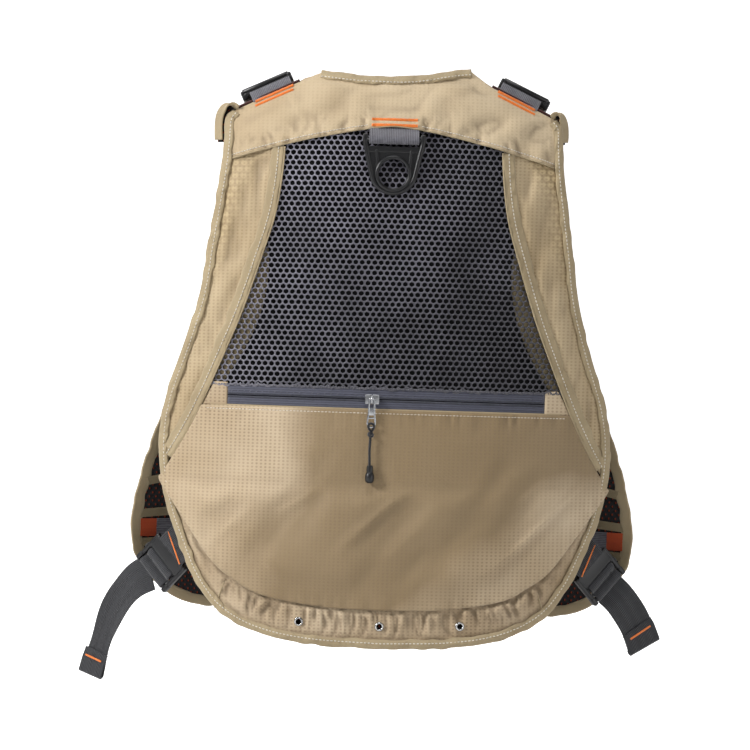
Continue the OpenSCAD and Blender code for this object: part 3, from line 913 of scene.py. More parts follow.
def pocket_poly():
    z = np.linspace(POCKET_TOP, 168, 30)
    half = np.vstack([np.stack([side_x(z) - 0.6, z], 1), pocket_low[pocket_low[:, 0] < 231]])
    return both(np.vstack([[(0, POCKET_TOP)], half]))


def pocket_out(x, z, e):
    """Broad folds and a crease, gathers under the zip and fine puckers at the lower seam."""
    t = step01(e, 0, 40)
    body = 4.2 + 4.6 * t
    fold = 5.6 * noise2(x / 50 + z / 110, z / 80, 21) + 3.0 * noise2(x / 26 + z / 44, z / 90, 22)
    crease = 3.6 * ridge(x / 44 + z / 40, z / 130 - x / 200, 23) * step01(z, 50, 110)
    pull = 3.6 * np.exp(-((x - 30) / 20) ** 2) * np.exp(-((z - 200) / 50) ** 2)
    high = step01(z, 196, 236)
    gather = ridge(x / 9 + noise2(x / 40, 1, 25), z / 60, 24) * (0.5 + 1.1 * step01(-x, -40, 60))
    low = 0.6 * ridge(x / 12, z / 40, 26) * np.exp(-(e / 14) ** 2) * (1 - high)
    d = body + t * (fold * 0.9 + crease * 0.6 + pull) + step01(e, 0, 5) * gather * high + low
    # the bulge stays below the cord's path, which sweeps the top of the pocket
    top = 13.0 - (8.0 + 0.16 * fold) * step01(z, 138, 168)
    return np.maximum(top - 1.2 * np.log1p(np.exp((top - d) / 1.2)), 1.8)


sheet("pocket_cloth", pocket_poly(), 2.6, back_xyz, pocket_out, 1.4, "back", "pocket",
      stands=("pocket_panel", "pocket_wall"))


def hem_out(x, z, _):
    """Pleats that fan out below the pocket, flat round the eyelets and beyond the gussets."""
    down = low_z(x) - z
    rim = -poly_distance(np.stack([x, z], 1), outline)[0]
    free = step01(down, 0, 7) * step01(rim, 10, 16)
    fan = x + 9 * noise2(x / 40, z / 26, 31)
    pleat = ridge(fan / 10, z / 90, 32) ** 3 + 0.7 * ridge(fan / 5, z / 60, 33) - 0.4
    deep = 1.8 + 3.6 * np.exp(-((down - 6) / 10) ** 2)
    flat = 1 - 0.6 * step01(np.abs(x), 158, 166)
    near = sum(np.exp(-(((x - ex) / 8) ** 2 + ((z - ez) / 7) ** 2)) for ex, ez in EYELETS)
    lift = 1.9 + (deep * pleat * flat + 1.0 * noise2(x / 13, z / 14, 34)) * (1 - near)
    return 0.3 + free * np.clip(lift, -0.6, 6.5)


sheet("hem_cloth", clip_curve(inset(outline, 3.0), lambda x: low_z(x) + 4, False), 2.0,
      back_xyz, hem_out, 1.2, "back", "khaki", stands=("hem_band", "hem_gussets"),
      holes=[(x, z, 3.0) for x, z in EYELETS])


# ---------- back: net ----------
def net_panel():
    """Thin raised strands round rounded holes on a staggered grid."""
    pitch, row, sides = 6.3, 5.2, 12
    corners = [(0.5, 0.5), (0, 1), (-0.5, 0.5), (-0.5, -0.5), (0, -1), (0.5, -0.5)]
    heights = [0.7, 1.7, 0.7, 0.1, 0.7, 0.1] * 2
    v, f, shared = [], [], {}

    def point(x, z, d):
        key = (round(x * 20), round(z * 20))
        if key not in shared:
            shared[key] = len(v)
            v.append((x, z, d))
        return shared[key]

    for k in range(int((534 - 257) / row)):
        z = 257 + k * row
        for i in range(-31, 32):
            x = (i + 0.5 * (k % 2)) * pitch
            if abs(x) > side_x(z) + 1 or z > yoke_low(x) + 3:
                continue
            hexa = [(x + a * pitch, z + b * row * 2 / 3) for a, b in corners]
            rim = []
            for a, b in zip(hexa, hexa[1:] + hexa[:1]):
                rim += [a, ((a[0] + b[0]) / 2, (a[1] + b[1]) / 2)]
            loops = [[point(px, pz, h) for (px, pz), h in zip(rim, heights)]]
            for frac, d in ((0.88, 0.45), (0.78, -0.3), (0.8, -1.0)):
                ring = []
                for px, pz in rim:
                    g = math.atan2(pz - z, px - x)
                    r = 0.35 * math.hypot(px - x, pz - z) + 0.65 * pitch / 2
                    ring.append(len(v))
                    v.append((x + math.cos(g) * r * frac, z + math.sin(g) * r * frac * 0.96, d))
                loops.append(ring)
            for a, b in zip(loops, loops[1:]):
                f += [(a[j], a[(j + 1) % sides], b[(j + 1) % sides], b[j]) for j in range(sides)]
    v = np.array(v)
    x, z = v[:, 0], v[:, 1]
    wave = 1.5 * noise2(x / 34 + z / 90, z / 60, 41) + 0.5 * noise2(x / 14, z / 20, 43)
    wave *= step01(side_x(z) - np.abs(x), 0, 16) * step01(z, 256, 275)
    strand = 0.3 * noise2(x / 3.1, z / 3.1, 42)
    shift = 0.35 * noise2(x / 3.3, z / 3.3, 45)
    xyz = back_xyz(x + shift, z, 0.6 + v[:, 2] + np.clip(wave, -0.7, 3) + strand)
    make("net_strands", xyz, f, "back", "net", uv=v[:, :2], stands=("back_mesh",))


net_panel()
x, z = np.linspace(0, 112, 20), np.linspace(506, 244, 50)
backing_poly = both(np.vstack([np.stack([x, yoke_low(x) + 4], 1),
                               np.stack([side_x(z) + 4, z], 1)]))
sheet("net_backing", backing_poly, 6, back_xyz,
      lambda x, z, e: -1.9 + soft(x, z, 44, 30, 0.3, 0.1), 0.5, "back", "backing")
# the seam allowance of the side panels shows through the net as a tapering strip
for sign, side in SIDES:
    z = np.linspace(400, 262, 30)
    wide = 17 * np.sin(np.pi * (400 - z) / 160) ** 0.8
    allowance = np.vstack([np.stack([side_x(z) + 2, z], 1),
                           np.stack([side_x(z) - 3 - wide, z], 1)[::-1]])
    sheet("seam_allowance_" + side, allowance * [sign, 1], 4, back_xyz, -1.6, 0.3, "back",
          "inner")


# ---------- back: zip ----------
def band_path(z, half, d, step=3.0):
    x = np.linspace(-half, half, max(3, int(abs(2 * half) / step)))
    return on_surface(back_xyz, x, z + 0 * x, d)


def flat_strip(width, thick, crown=0.2, n=8):
    u = np.linspace(-width / 2, width / 2, n + 1)
    h = thick / 2 + crown * (1 - (2 * u / width) ** 2)
    return np.vstack([np.stack([u, h], 1), np.stack([u, -thick / 2 + 0 * u], 1)[::-1]])


for name, z in (("zip_tape_upper", ZIP_Z + 5.6), ("zip_tape_lower", ZIP_Z - 5.6)):
    path, nor = band_path(z, ZIP_HALF, 0.9)
    sweep(name, path, nor, flat_strip(10.2, 0.8, 0.35), "back", "zip", stands=(name,))


def coil(name, z, x0, x1, surf, d, body, stands=(), side=1, pitch=1.35):
    """One row of a zip's coil, a bead for each turn."""
    v = []
    count = int((x1 - x0) / pitch)
    for i in range(count):
        x = x0 + (i + 0.5) * pitch
        for a, w in ((-1.0, 0.3), (-0.75, 1.0), (0.75, 1.0), (1.0, 0.3)):
            for g in bead_angles():
                v.append((x + 0.46 * w * math.cos(g) + 0.15 * a, z + a,
                          d + 0.42 * w * math.sin(g)))
    v = np.array(v)
    make(name, surf(v[:, 0], v[:, 1], v[:, 2]) * [side, 1, 1], bead_faces(count), body, "coil",
         stands=stands, recalc=True)


coil("zip_coil_upper", ZIP_Z + 1.7, -ZIP_HALF, ZIP_HALF, back_xyz, 1.55, "back",
     stands=("zip_coils",))
coil("zip_coil_lower", ZIP_Z - 1.7, -ZIP_HALF, ZIP_HALF, back_xyz, 1.55, "back")
# the net's gathered edge above the zip, and the lip of the pocket below it
path, nor = band_path(ZIP_Z + 10.9, ZIP_HALF + 22, 1.5, 2.0)
k = np.arange(len(path))
path = path + 0.5 * nor * noise2(k / 1.6, 0, 51)[:, None]
stitches("net_edge_stitch", path, nor, "back", 3.1, 3.0, 0.75, 0.3, "web_light")
wave = path + [0, 0, 1] * (2.2 * ridge(k / 1.3, 0, 53))[:, None]
wire("net_edge_cord", wave + 0.4 * nor, 0.8, 0.7, nor, "back", "net", n=6)
path, nor = band_path(ZIP_Z - 10.4, ZIP_HALF + 18, 1.6, 2.0)
sweep("pocket_lip", path, nor, round_profile(1.2, 1.0, 8), "back", "binding")
x = band_path(POCKET_TOP - 3.4, 182, 0, 2.0)[0][:, 0]
z = np.full(len(x), POCKET_TOP - 3.4)
path, nor = on_surface(back_xyz, x, z, pocket_out(x, z, np.full(len(x), 3.4)))
stitches("pocket_topstitch", path, nor, "back", 3.6, 2.5, 0.3, 0.15)
for sign, side in SIDES:
    g = np.array([(ZIP_HALF + 0.5, 238.5), (ZIP_HALF + 0.5, 263), (174, 263.5), (188.5, 238.5)])
    sheet("zip_garage_" + side, g * [sign, 1], 2.5, back_xyz,
          lambda x, z, e: 1.9 + 0.3 * step01(e, 0, 3), 1.4, "back", "khaki",
          stands=("zip_garages",) if sign > 0 else ())


# ---------- tapes, bindings, seams ----------
def edge_profile(width, low, high):
    """A folded tape: across runs inwards from the edge."""
    n = 6
    r = min(2.2, (high - low) / 2)
    pts = [(r + r * math.cos(g), high - r + r * math.sin(g))
           for g in np.linspace(math.pi / 2, math.pi, 5)]
    pts += [(r + r * math.cos(g), low + r + r * math.sin(g))
            for g in np.linspace(math.pi, 1.5 * math.pi, 5)]
    pts += [(width * 0.7, low), (width, low + 0.5), (width + 0.1, low + 1.2),
            (width + 0.1, high - 1.1), (width - 0.4, high - 0.3)]
    pts += [(width - 0.4 - (width - 0.4 - r) * k / n, high + 0.5 * math.sin(math.pi * k / n))
            for k in range(1, n)]
    return np.array(pts)


def inward(flat, toward):
    """Unit directions across a flat line, pointing to the side where toward lies."""
    t = unit(np.gradient(flat, axis=0))
    n = np.stack([-t[:, 1], t[:, 0]], 1)
    return n * np.sign(((np.asarray(toward, float) - flat) * n).sum())


def bind(name, flat, surf, width, low, high, body, mat="binding", side=1, stands=(), seed=60,
         rough=0.45, stitch=0.5, toward=None, prof=None):
    """A tape laid along a flat line on a surface, with rucks, and stitched along its middle."""
    flat = resample(flat, 2.0)
    n2 = inward(flat, flat.mean(0) if toward is None else toward)
    prof = edge_profile(width, low, high) if prof is None else np.asarray(prof, float)
    rucked = np.where(prof[:, 1] > high - 1.0, 1.0, 0.35)
    s = lengths(flat)
    wob = noise2(s / 9, 0, seed)

    def rucks(i, across):
        k = rough * (ridge(s[i] / 5.5 + 0.12 * across, across / 9, seed + 1) - 0.3)
        return k + 0.7 * noise2(s[i] / 16, across / 12, seed + 2)

    def on(i, across, up):
        xz = flat[i] + np.asarray(across)[..., None] * n2[i]
        return surf(xz[..., 0], xz[..., 1], up)

    v = np.zeros((len(flat), len(prof), 3))
    for i in range(len(flat)):
        across = prof[:, 0] * (1 + 0.06 * wob[i]) + 0.8 * noise2(s[i] / 10, 2, seed + 3)
        v[i] = on(i, across, prof[:, 1] + rucks(i, prof[:, 0]) * rucked)
    flip = [side, 1, 1]
    make(name, v.reshape(-1, 3) * flip, tube(len(flat), len(prof)), body, mat, uv=tube_uv(s, prof),
         stands=stands, recalc=True)
    if stitch:
        at = width * stitch
        line = np.array([on(i, at, high + rucks(i, at) * 0.9 + 0.45) for i in range(len(flat))])
        up = np.array([on(i, at, high + 9.0) - on(i, at, high) for i in range(len(flat))])
        stitches(name + "_stitch", line.reshape(-1, 3) * flip, up.reshape(-1, 3) * flip, body,
                 3.8, 2.6, 0.45, 0.15)


arm_left = arm[(arm[:, 1] < 541.5) & (arm[:, 0] > 0.5)]
back_edge = np.vstack([arm_left, [(0, 0)], (arm_left * [-1, 1])[::-1]])
bind("back_edge_tape", back_edge, back_xyz, 9.6, -6.6, 2.9, "back",
     stands=("back_binding",), seed=61, rough=0.9, stitch=0.62)
neck_flat = neck_rise(np.vstack([neck[::-1], (neck * [-1, 1])[1:]]))
bind("neck_edge_tape", neck_flat, back_xyz, 9, -6.4, 2.8, "back", stands=("neck_binding",),
     seed=66, rough=0.8, toward=(0, 300), stitch=0.75)
for sign, side in SIDES:
    z = np.linspace(529, 184, 90)
    x = side_x(z)
    keep = z < yoke_low(x) + 1
    z, x = z[keep], x[keep]
    p = np.stack([x, z], 1)
    prof = [(12.4, 2.6), (12.9, 1.8), (12.9, 0.2), (11.5, -0.3), (1.4, -0.3), (0.2, 0.8),
            (0.2, 2.4), (1.0, 3.2), (3.2, 2.9), (6.4, 2.8), (9.4, 2.8), (11.2, 3.0)]
    p[:, 0] *= sign
    bind("mesh_tape_" + side, p, back_xyz, 12.6, 0, 2.9, "back", prof=prof, seed=70 + 5 * sign,
         rough=0.8, stitch=0.5, toward=(400 * sign, 330),
         stands=("mesh_tapes",) if sign > 0 else ())
    cord, nor = on_surface(back_xyz, p[:, 0], p[:, 1], 3.0)
    wire("mesh_piping_" + side, cord, 0.8, 0.8, nor, "back", "binding", n=8)
x = np.linspace(-168, 168, 170)
lip = yoke_out(x, yoke_low(x), 0 * x) + 0.1
path = back_xyz(x, yoke_low(x) + 0.2, lip)
nor = on_surface(back_xyz, x, yoke_low(x), lip)[1]
sweep("yoke_piping", path, nor, PIPE, "back", "binding")
for side, x0, x1 in (("left", 27, 168), ("right", -168, -27)):
    x = np.linspace(x0, x1, 80)
    path, nor = on_back(x, yoke_low(x) + 4.0, yoke_out, 0.1, yoke_poly)
    stitches("yoke_stitch_" + side, path, nor, "back", 3.2, 2.5, 0.42, 0.25)

for sign, side in SIDES:
    g = np.linspace(0, 1, 14)
    x, z = 158 + 9 * g, 61 - 27 * g
    path, nor = on_surface(back_xyz, x * sign, z, hem_out(x, z, None) + 0.5)
    sweep("gusset_seam_" + side, path, nor, PIPE, "back", "binding")


# ---------- net loop and net ring ----------
# BAR is the ring's pivot; LEG runs down the loop's legs and OUT across them, in y and z
BAR = np.array([0.0, DEPTH + 3, 510.0])
LEG, OUT = np.array([-0.764, 0.648]), np.array([0.648, 0.764])
front_leg = [back_xyz(0, 538, 1.3)[1:] - BAR[1:], back_xyz(0, 529, 1.9)[1:] - BAR[1:],
             12 * LEG + 3.4 * OUT, 6 * LEG + 3.65 * OUT]
turn = [3.65 * (OUT * math.cos(a) - LEG * math.sin(a)) for a in np.linspace(0, math.pi, 14)]
back_leg = [7 * LEG - 3.6 * OUT, 14 * LEG - 3.2 * OUT]
loop_path = smooth_path(np.vstack([front_leg, turn, back_leg]), 4)
strap("net_loop_webbing", lift3(loop_path, "yz") + BAR, (1, 0, 0), 50, "back", "web_light",
      stands=("net_loop",), pitch=1.9, rib=0.22)

ring_at = mapper(np.eye(3), BAR)
side_line = [(28.9, 4.0), (28.95, 1.0), (28.9, -2.66), (25.3, -19), (21.5, -35.8)]
rim = np.vstack([smooth_path(side_line, 5), arc_points(0, -31, 22, -14, -166, 26),
                 smooth_path(side_line, 5)[::-1] * [-1, 1]])
wire("ring_rim", lift3(resample(rim, 1.5), "xz"), 2.6, 2.6, (0, 1, 0), "net_ring", "plastic",
     to=ring_at, stands=("net_ring",))
S = Solid()
S.rod(2.4, 54, (0, 0, 0), rot("Y", 90))
for a in (-1, 1):
    S.box((3.0, 5.0, 22), (a * 16.6, 0.4, -21), rot("Y", a * 4), r=1.2, seg=3)
    S.box((5.4, 5.6, 9), (a * 28.9, 0, 1.5), r=2.2, seg=4)
S.box((52, 3.4, 6.4), (0, 0, -9.8), r=1.3, seg=3)
S.lathe([(14.5, -2.2), (14.9, -2.8), (17.6, -2.8), (18.4, -2.0), (18.4, 1.9), (17.8, 3.1),
         (16.6, 3.5), (15.3, 3.2), (14.5, 2.2), (14.5, -2.2)], (0, 0, -34), rot("X", -90), 64)
S.done("ring_bar", ring_at, "net_ring", "plastic", angle=50)


def ring_plate():
    """The recessed web of the ring, from the hole out to the rim."""
    edge = np.vstack([[(x, -11) for x in np.linspace(-25, 25, 13)],
                      rim[rim[:, 1] < -10]])
    edge = resample(np.vstack([edge, edge[:1]]), 2.0)[:-1]
    ang = np.arctan2(edge[:, 1] + 34, edge[:, 0])
    inner = np.stack([16.5 * np.cos(ang), -34 + 16.5 * np.sin(ang)], 1)
    v, f, n = [], [], len(edge)
    for y in (1.1, -1.4):
        v += [(p[0], y, p[1]) for p in inner] + [(p[0], y, p[1]) for p in edge]
    for i in range(n):
        j = (i + 1) % n
        f += [(i, j, n + j, n + i), (2 * n + i, 3 * n + i, 3 * n + j, 2 * n + j),
              (n + i, n + j, 3 * n + j, 3 * n + i), (j, i, 2 * n + i, 2 * n + j)]
    make("ring_web", np.array(v), f, "net_ring", "plastic", smooth=False,
         to=ring_at, recalc=True)


ring_plate()


# ---------- stitched bars and eyelets ----------
for k, z in enumerate((525.2, 531.2)):
    x = np.linspace(-23, 23, 40)
    path, nor = on_back(x, z + 0 * x, yoke_out, 0.4, yoke_poly)
    satin("stitched_bar_%d" % k, path, nor, 3.3, "back", seed=80 + k,
          stands=("bartacks",) if k == 0 else ())
for sign, side in SIDES:
    for k, drop in enumerate((1.0, 5.6)):
        g = np.linspace(0, 42, 40)
        x, z = 104 + g * math.cos(SLOPE), 567.4 - drop - g * math.sin(SLOPE)
        path, nor = on_back(x, z, yoke_out, 0.4, yoke_poly)
        satin("shoulder_bar_%s_%d" % (side, k), path * [sign, 1, 1], nor * [sign, 1, 1], 2.9,
              "back", seed=84 + k)
S = Solid()
for x, z in EYELETS:
    m = rot("Z", -math.degrees(math.asin(x / WRAP))) @ rot("X", -90)
    S.lathe([(2.5, -7.0), (2.5, 1.4), (2.8, 2.2), (3.4, 2.6), (4.1, 2.3), (4.8, 1.3), (4.8, 0.9),
             (3.2, 0.9), (3.2, -6.2), (4.8, -6.2), (4.8, -6.8), (3.8, -7.6), (2.9, -7.5),
             (2.5, -7.0)], back_xyz(x, z, 1.5), m, 36)
S.done("eyelets", lambda v: v, "back", "nickel", stands=("hem_eyelets",), angle=60)


# ---------- zip slider, pull and cord ----------
PULL_Y, PIVOT = 9.4, -27.6
zip_turn = rot("Z", -1.9)
zip_at = mapper(zip_turn, np.array(zip_turn) @ np.array([0, WRAP, 0]) + [0, AXIS_Y, ZIP_Z])
S = Solid()
S.box((14, 1.5, 9.6), (0, 3.4, 0), r=0.7, seg=3)
S.box((12, 1.3, 8.6), (0, -0.6, 0), r=0.6)
S.box((5.5, 4.4, 2.2), (-3.5, 1.5, 0), r=0.4)
S.box((3.2, 2.0, 6.4), (0, 4.6, 0), r=0.7)
S.done("slider_body", zip_at, "zip_slider", "steel", stands=("zip_slider",))
bail = smooth_path([(4.4, -3.4), (7.2, -4.1), (10.0, -3.2), (11.5, 0), (10.0, 3.2), (7.2, 4.1),
                    (4.4, 3.4)], 5)
wire("slider_bail", lift3(bail, "yz"), 1.3, 0.75, (1, 0, 0), "zip_slider", "steel",
     to=zip_at)
outer = smooth_path([(-1.4, 0.9), (-2.4, -0.4), (-2.7, -8), (-3.0, -15), (-3.7, -20.5),
                     (-3.4, -25.4), (0, -27.9), (3.4, -25.4), (3.7, -20.5), (3.0, -15), (2.7, -8),
                     (2.4, -0.4), (1.4, 0.9)], 5)
wire("pull_frame", lift3(outer, "xz", PULL_Y), 0.95, 0.7, (0, 1, 0), "zip_pull", "steel",
     closed=True, to=zip_at, stands=("zip_pull",))
S = Solid()
S.box((4.6, 1.0, 7.6), (0, PULL_Y, -12.2), r=0.4)
S.box((5.6, 1.3, 1.7), (0, PULL_Y, -18.6), r=0.5)
S.box((4.2, 1.3, 1.5), (0, PULL_Y, 0.6), r=0.5)
S.done("pull_bridge", zip_at, "zip_pull", "steel")

knot = [(0.2, 0.0, -4), (2.6, 0.4, -1.0), (2.4, 1.8, 2.6), (0, 2.4, 3.6), (-2.4, 1.4, 2.4),
        (-2.6, -0.6, -0.6), (-0.6, -1.6, -4.2), (1.8, -0.8, -6.2), (2.2, 1.2, -8.0),
        (0.2, 1.8, -9.4), (-1.8, 0.4, -8.6), (-1.2, -1.2, -6.6), (0.6, -0.6, -5.4),
        (1.0, 0.6, -8.5), (0.4, 0.2, -12), (0.9, 0.1, -22), (0.6, 0.0, -34), (0.0, 0, -43)]
cord_path = resample(smooth_path(knot, 8), 0.7) + [0, PULL_Y, PIVOT]


def braid(s, pr):
    g = np.arctan2(pr[:, 1], pr[:, 0])
    return pr * (1 + 0.08 * np.cos(4 * g + s * 2.4))[:, None]


cord_up = np.cross(np.gradient(cord_path, axis=0), [0.31, 0.2, 0.93]) + [1e-3, 1e-3, 0]
sweep("cord", cord_path, cord_up, round_profile(1.3, 1.3, 10), "cord", "cord",
      change=braid, to=zip_at, stands=("pull_cord",))
grip = [(0, -56.2), (2.6, -55.9), (4.2, -54.2), (4.7, -51.2), (4.5, -48.2), (3.8, -46.2),
        (3.2, -45.6), (3.5, -45.0), (3.1, -44.2), (3.5, -43.4), (3.1, -42.6), (3.4, -41.8),
        (3.0, -41.0), (3.3, -40.2), (2.9, -39.4), (2.9, -38.6), (1.9, -38.2), (1.6, -38.8),
        (1.6, -41.5), (0, -41.6)]
S = Solid()
S.lathe(grip, (0, PULL_Y, PIVOT), None, 36)
S.done("cord_grip", zip_at, "cord", "plastic", stands=("cord_end",), angle=60)


# ---------- ladder-lock buckles ----------
def ladder(name, web, to, body, stands, hood=False):
    """Own frame: strap along x, thickness y, bars along z; a hood rail may stand over them."""
    half = web / 2 + 1
    wide = 2 * half + 4
    s = Solid()
    for a in (-1, 1):
        z = a * (half + 2.5)
        s.box((35, 6.2, 4.6), (13.5, -0.1, z), r=1.7, seg=4)
        s.box((9.5, 7.4, 5.2), (27.6, 0.4, z), r=2.2, seg=4)
        s.box((16, 5.6, 1.6), (3.6, 1.2, a * (half - 0.3)), r=0.7, seg=2)
    s.box((12.5, 1.9, wide), (3.0, 2.9, 0), r=0.8, seg=3)
    s.box((2.6, 3.4, wide), (-2.6, 1.7, 0), r=1.1, seg=3)
    s.box((1.8, 2.8, wide), (9.2, 2.3, 0), r=0.8, seg=2)
    s.rod(2.0, wide, (0, -0.4, 0), seg=20)
    s.box((4.6, 3.0, wide), (15.2, 0.0, 0), r=1.2, seg=3)
    s.rod(2.2, wide, (28, 0, 0), seg=20)
    if hood:
        s.rod(3.0, wide + 1, (2.0, 6.6, 0), None, 24, 1.0)
        for a in (-1, 1):
            s.box((8.5, 8.0, 4.6), (2.2, 3.6, a * (half + 2.5)), r=1.9, seg=4)
    s.done(name, to, body, "plastic", stands=stands, angle=50)


def threaded(name, width, to, body, start):
    """The webbing band that shows between the bars."""
    p = [start, (10.9, 0.6), (12.4, 2.8), (15.2, 3.8), (17.9, 2.9), (20.2, 0.9), (22.2, 0.7),
         (24.2, 2.4), (26.2, 3.9), (28.4, 4.2), (30.6, 3.1), (31.7, 0.9), (31.3, -1.2)]
    strap(name, lift3(smooth_path(p, 6)), (0, 0, 1), width, body, "web", to=to,
          step=0.8, rib=0.14)


def side_plane(p, side):
    """The plane of a side buckle, tangent to the back by the hem; y points out of it."""
    p = np.asarray(p, float).reshape(-1, 3) + [0, WRAP - 2.9, 99]
    a = math.asin(205 / WRAP)
    x = p[:, 0] * math.cos(a) + p[:, 1] * math.sin(a)
    y = -p[:, 0] * math.sin(a) + p[:, 1] * math.cos(a) + AXIS_Y
    return np.stack([x, y, p[:, 2]], 1) * [side, 1, 1]


# how far the first bar stands off the panel's edge
REACH, R45 = 19.0, math.sqrt(0.5)


def side_strap_at(p, side):
    """A side buckle's own frame: x runs 45 degrees down and out from its anchor."""
    p = np.asarray(p, float).reshape(-1, 3) + [REACH, 0, 0]
    turned = np.stack([p[:, 0] + p[:, 2], p[:, 1] / R45, p[:, 2] - p[:, 0]], 1) * R45
    return side_plane(turned, side)


def bezier(p, t):
    p = np.asarray(p, float)
    t = np.asarray(t, float)[:, None]
    return (1 - t) ** 2 * p[0] + 2 * t * (1 - t) * p[1] + t * t * p[2]


# each tail's curve, its width, how far it pinches in above its tip, and which of its points
# start the folded tip and carry its stitch
STEPS = 50
TAILS = {"left": ([(33, -33), (78, -43), (106, -142)], 32.0, 0.24, 43, 45),
         "right": ([(33, -33), (62, -56), (80, -95)], 38.0, 0.0, 36, 40)}
UP_Y = [0.0, 1, 0]
for sign, side in SIDES:
    to = lambda v, s=sign: side_strap_at(v, s)
    flat = lambda v, s=sign: side_plane(v, s)
    buckle, tail = "side_buckle_" + side, "side_tail_" + side
    ladder("ladder_lock_" + side, 38, to, buckle, (buckle,))
    threaded("adjuster_webbing_" + side, 37, to, buckle, (9.8, -2.4))
    # anchor loop: in from the panel edge, round the first bar and back
    loop = np.vstack([[(-30, -2.2), (-23, -1.6), (-15, 1.4), (-8, 2.9)],
                      arc_points(0, -0.4, 3.3, 90, -90, 10),
                      [(-9, -3.6), (-18, -3.9), (-30, -3.9)]])
    strap("anchor_loop_" + side, lift3(smooth_path(loop, 4)), (0, 0, 1), 38, "back", to=to,
          stands=("side_loop_" + side,), rib=0.2)
    g = np.linspace(-17.5, 17.5, 26)
    line = np.stack([-9.0 - 0.3 * g, 3.5 - 0.1 * g, g], 1)
    satin("anchor_stitch_" + side, line, np.tile(UP_Y, (26, 1)), 1.5, "back", to=to, seed=90)
    # free end: round the outer bar, then down in the buckle's plane, with a folded tip
    p, width, pinch, tip_from, stitch_at = TAILS[side]
    sag = np.linspace(0, 1, STEPS)
    way = bezier(p, sag)
    drape = 3.2 * step01(sag, 0.02, 0.3) - 2.0 + 1.4 * np.sin(sag * 5.0) * sag
    hang = np.stack([way[:, 0], drape, way[:, 1]], 1)
    line = resample(np.hstack([hang, np.tile(UP_Y, (STEPS, 1))]), 1.2)[4:]
    full = lengths(line[:, :3])[-1]

    def curl(s, pr, full=full, width=width, pinch=pinch):
        wide = 37 / width + (1 - 37 / width) * float(step01(s, 6, 40))
        wide *= 1 - pinch * math.exp(-((s - full + 34) / 26) ** 2)
        cup = 2.0 * math.sin(s / 33) * float(step01(s, 20, 60) * (1 - step01(s, full - 40, full)))
        return pr * [wide, 1] + np.stack([0 * pr[:, 0], cup * (pr[:, 0] / 16) ** 2], 1)

    sweep("tail_webbing_" + side, line[:, :3], line[:, 3:], webbing_profile(width, 1.5, 1.9, 0.15),
          tail, "web", to=flat, change=curl, stands=(tail,))
    fold = hang[tip_from:]
    tip, back = fold[-1], unit(fold[-1] - fold[-2])
    bulge = [tip + back * 1.2 + [0, 1.0, 0], tip + back * 1.9 + [0, 2.2, 0],
             tip + back * 1.2 + [0, 3.3, 0]]
    over = np.vstack([fold[-3:], bulge, (fold + [0, 3.2, 0])[::-1]])
    over[-3:, 1] -= [0.5, 1.1, 1.5]
    strap("tail_fold_" + side, smooth_path(over, 3), np.cross(UP_Y, back),
          width * (1 - 0.6 * pinch) + 1.5, tail, to=flat)
    across = np.cross(UP_Y, unit(hang[stitch_at + 1] - hang[stitch_at]))
    g = np.linspace(-0.36, 0.36, 24)[:, None] * width * (1 - 0.5 * pinch)
    satin("tail_stitch_" + side, hang[stitch_at] + [0, 4.3, 0] + g * across, np.tile(UP_Y, (24, 1)),
          2.0, tail, to=flat, seed=93)


# ---------- padded pieces ----------
SCENE = bpy.context.scene
SIM_FRAMES = 20
CLOTH = {"quality": 5, "mass": 0.3, "use_pressure": True, "uniform_pressure_force": 4.0,
         "tension_stiffness": 15, "compression_stiffness": 15, "shear_stiffness": 5,
         "bending_stiffness": 0.5}


def applied(ob):
    """ob's mesh with its modifiers applied."""
    deps = bpy.context.evaluated_depsgraph_get()
    deps.update()
    me = bpy.data.meshes.new_from_object(ob.evaluated_get(deps))
    ob.modifiers.clear()
    old, ob.data = ob.data, me
    bpy.data.meshes.remove(old)


def coords(me):
    co = np.empty(len(me.vertices) * 3)
    me.vertices.foreach_get("co", co)
    return co.reshape(-1, 3)


def puff(ob, voxel, cap, hold=None):
    """Swells a closed block by cloth simulation, no point by more than cap.

    hold(points in mm) gives each point's freedom, from 0 to 1.
    """
    mod = ob.modifiers.new("remesh", "REMESH")
    mod.mode = "VOXEL"
    mod.voxel_size = voxel / 1000
    applied(ob)
    rest = coords(ob.data)
    free = np.ones(len(rest)) if hold is None else hold(rest * 1000 + ORIGIN)
    mod = ob.modifiers.new("cloth", "CLOTH")
    for key, value in CLOTH.items():
        setattr(mod.settings, key, value)
    mod.settings.effector_weights.gravity = 0
    mod.point_cache.frame_start, mod.point_cache.frame_end = 1, SIM_FRAMES
    for frame_no in range(1, SIM_FRAMES + 1):
        SCENE.frame_set(frame_no)
    deps = bpy.context.evaluated_depsgraph_get()
    moved = coords(ob.evaluated_get(deps).data)
    ob.modifiers.clear()
    SCENE.frame_set(1)
    step = moved - rest
    far = np.linalg.norm(step, axis=1)
    step *= (np.minimum(far, cap / 1000) / np.maximum(far, 1e-9) * free)[:, None]
    ob.data.vertices.foreach_set("co", (rest + step).ravel())
    mod = ob.modifiers.new("smooth", "SUBSURF")
    mod.levels = mod.render_levels = 1
    applied(ob)
    ob.data.polygons.foreach_set("use_smooth", [True] * len(ob.data.polygons))


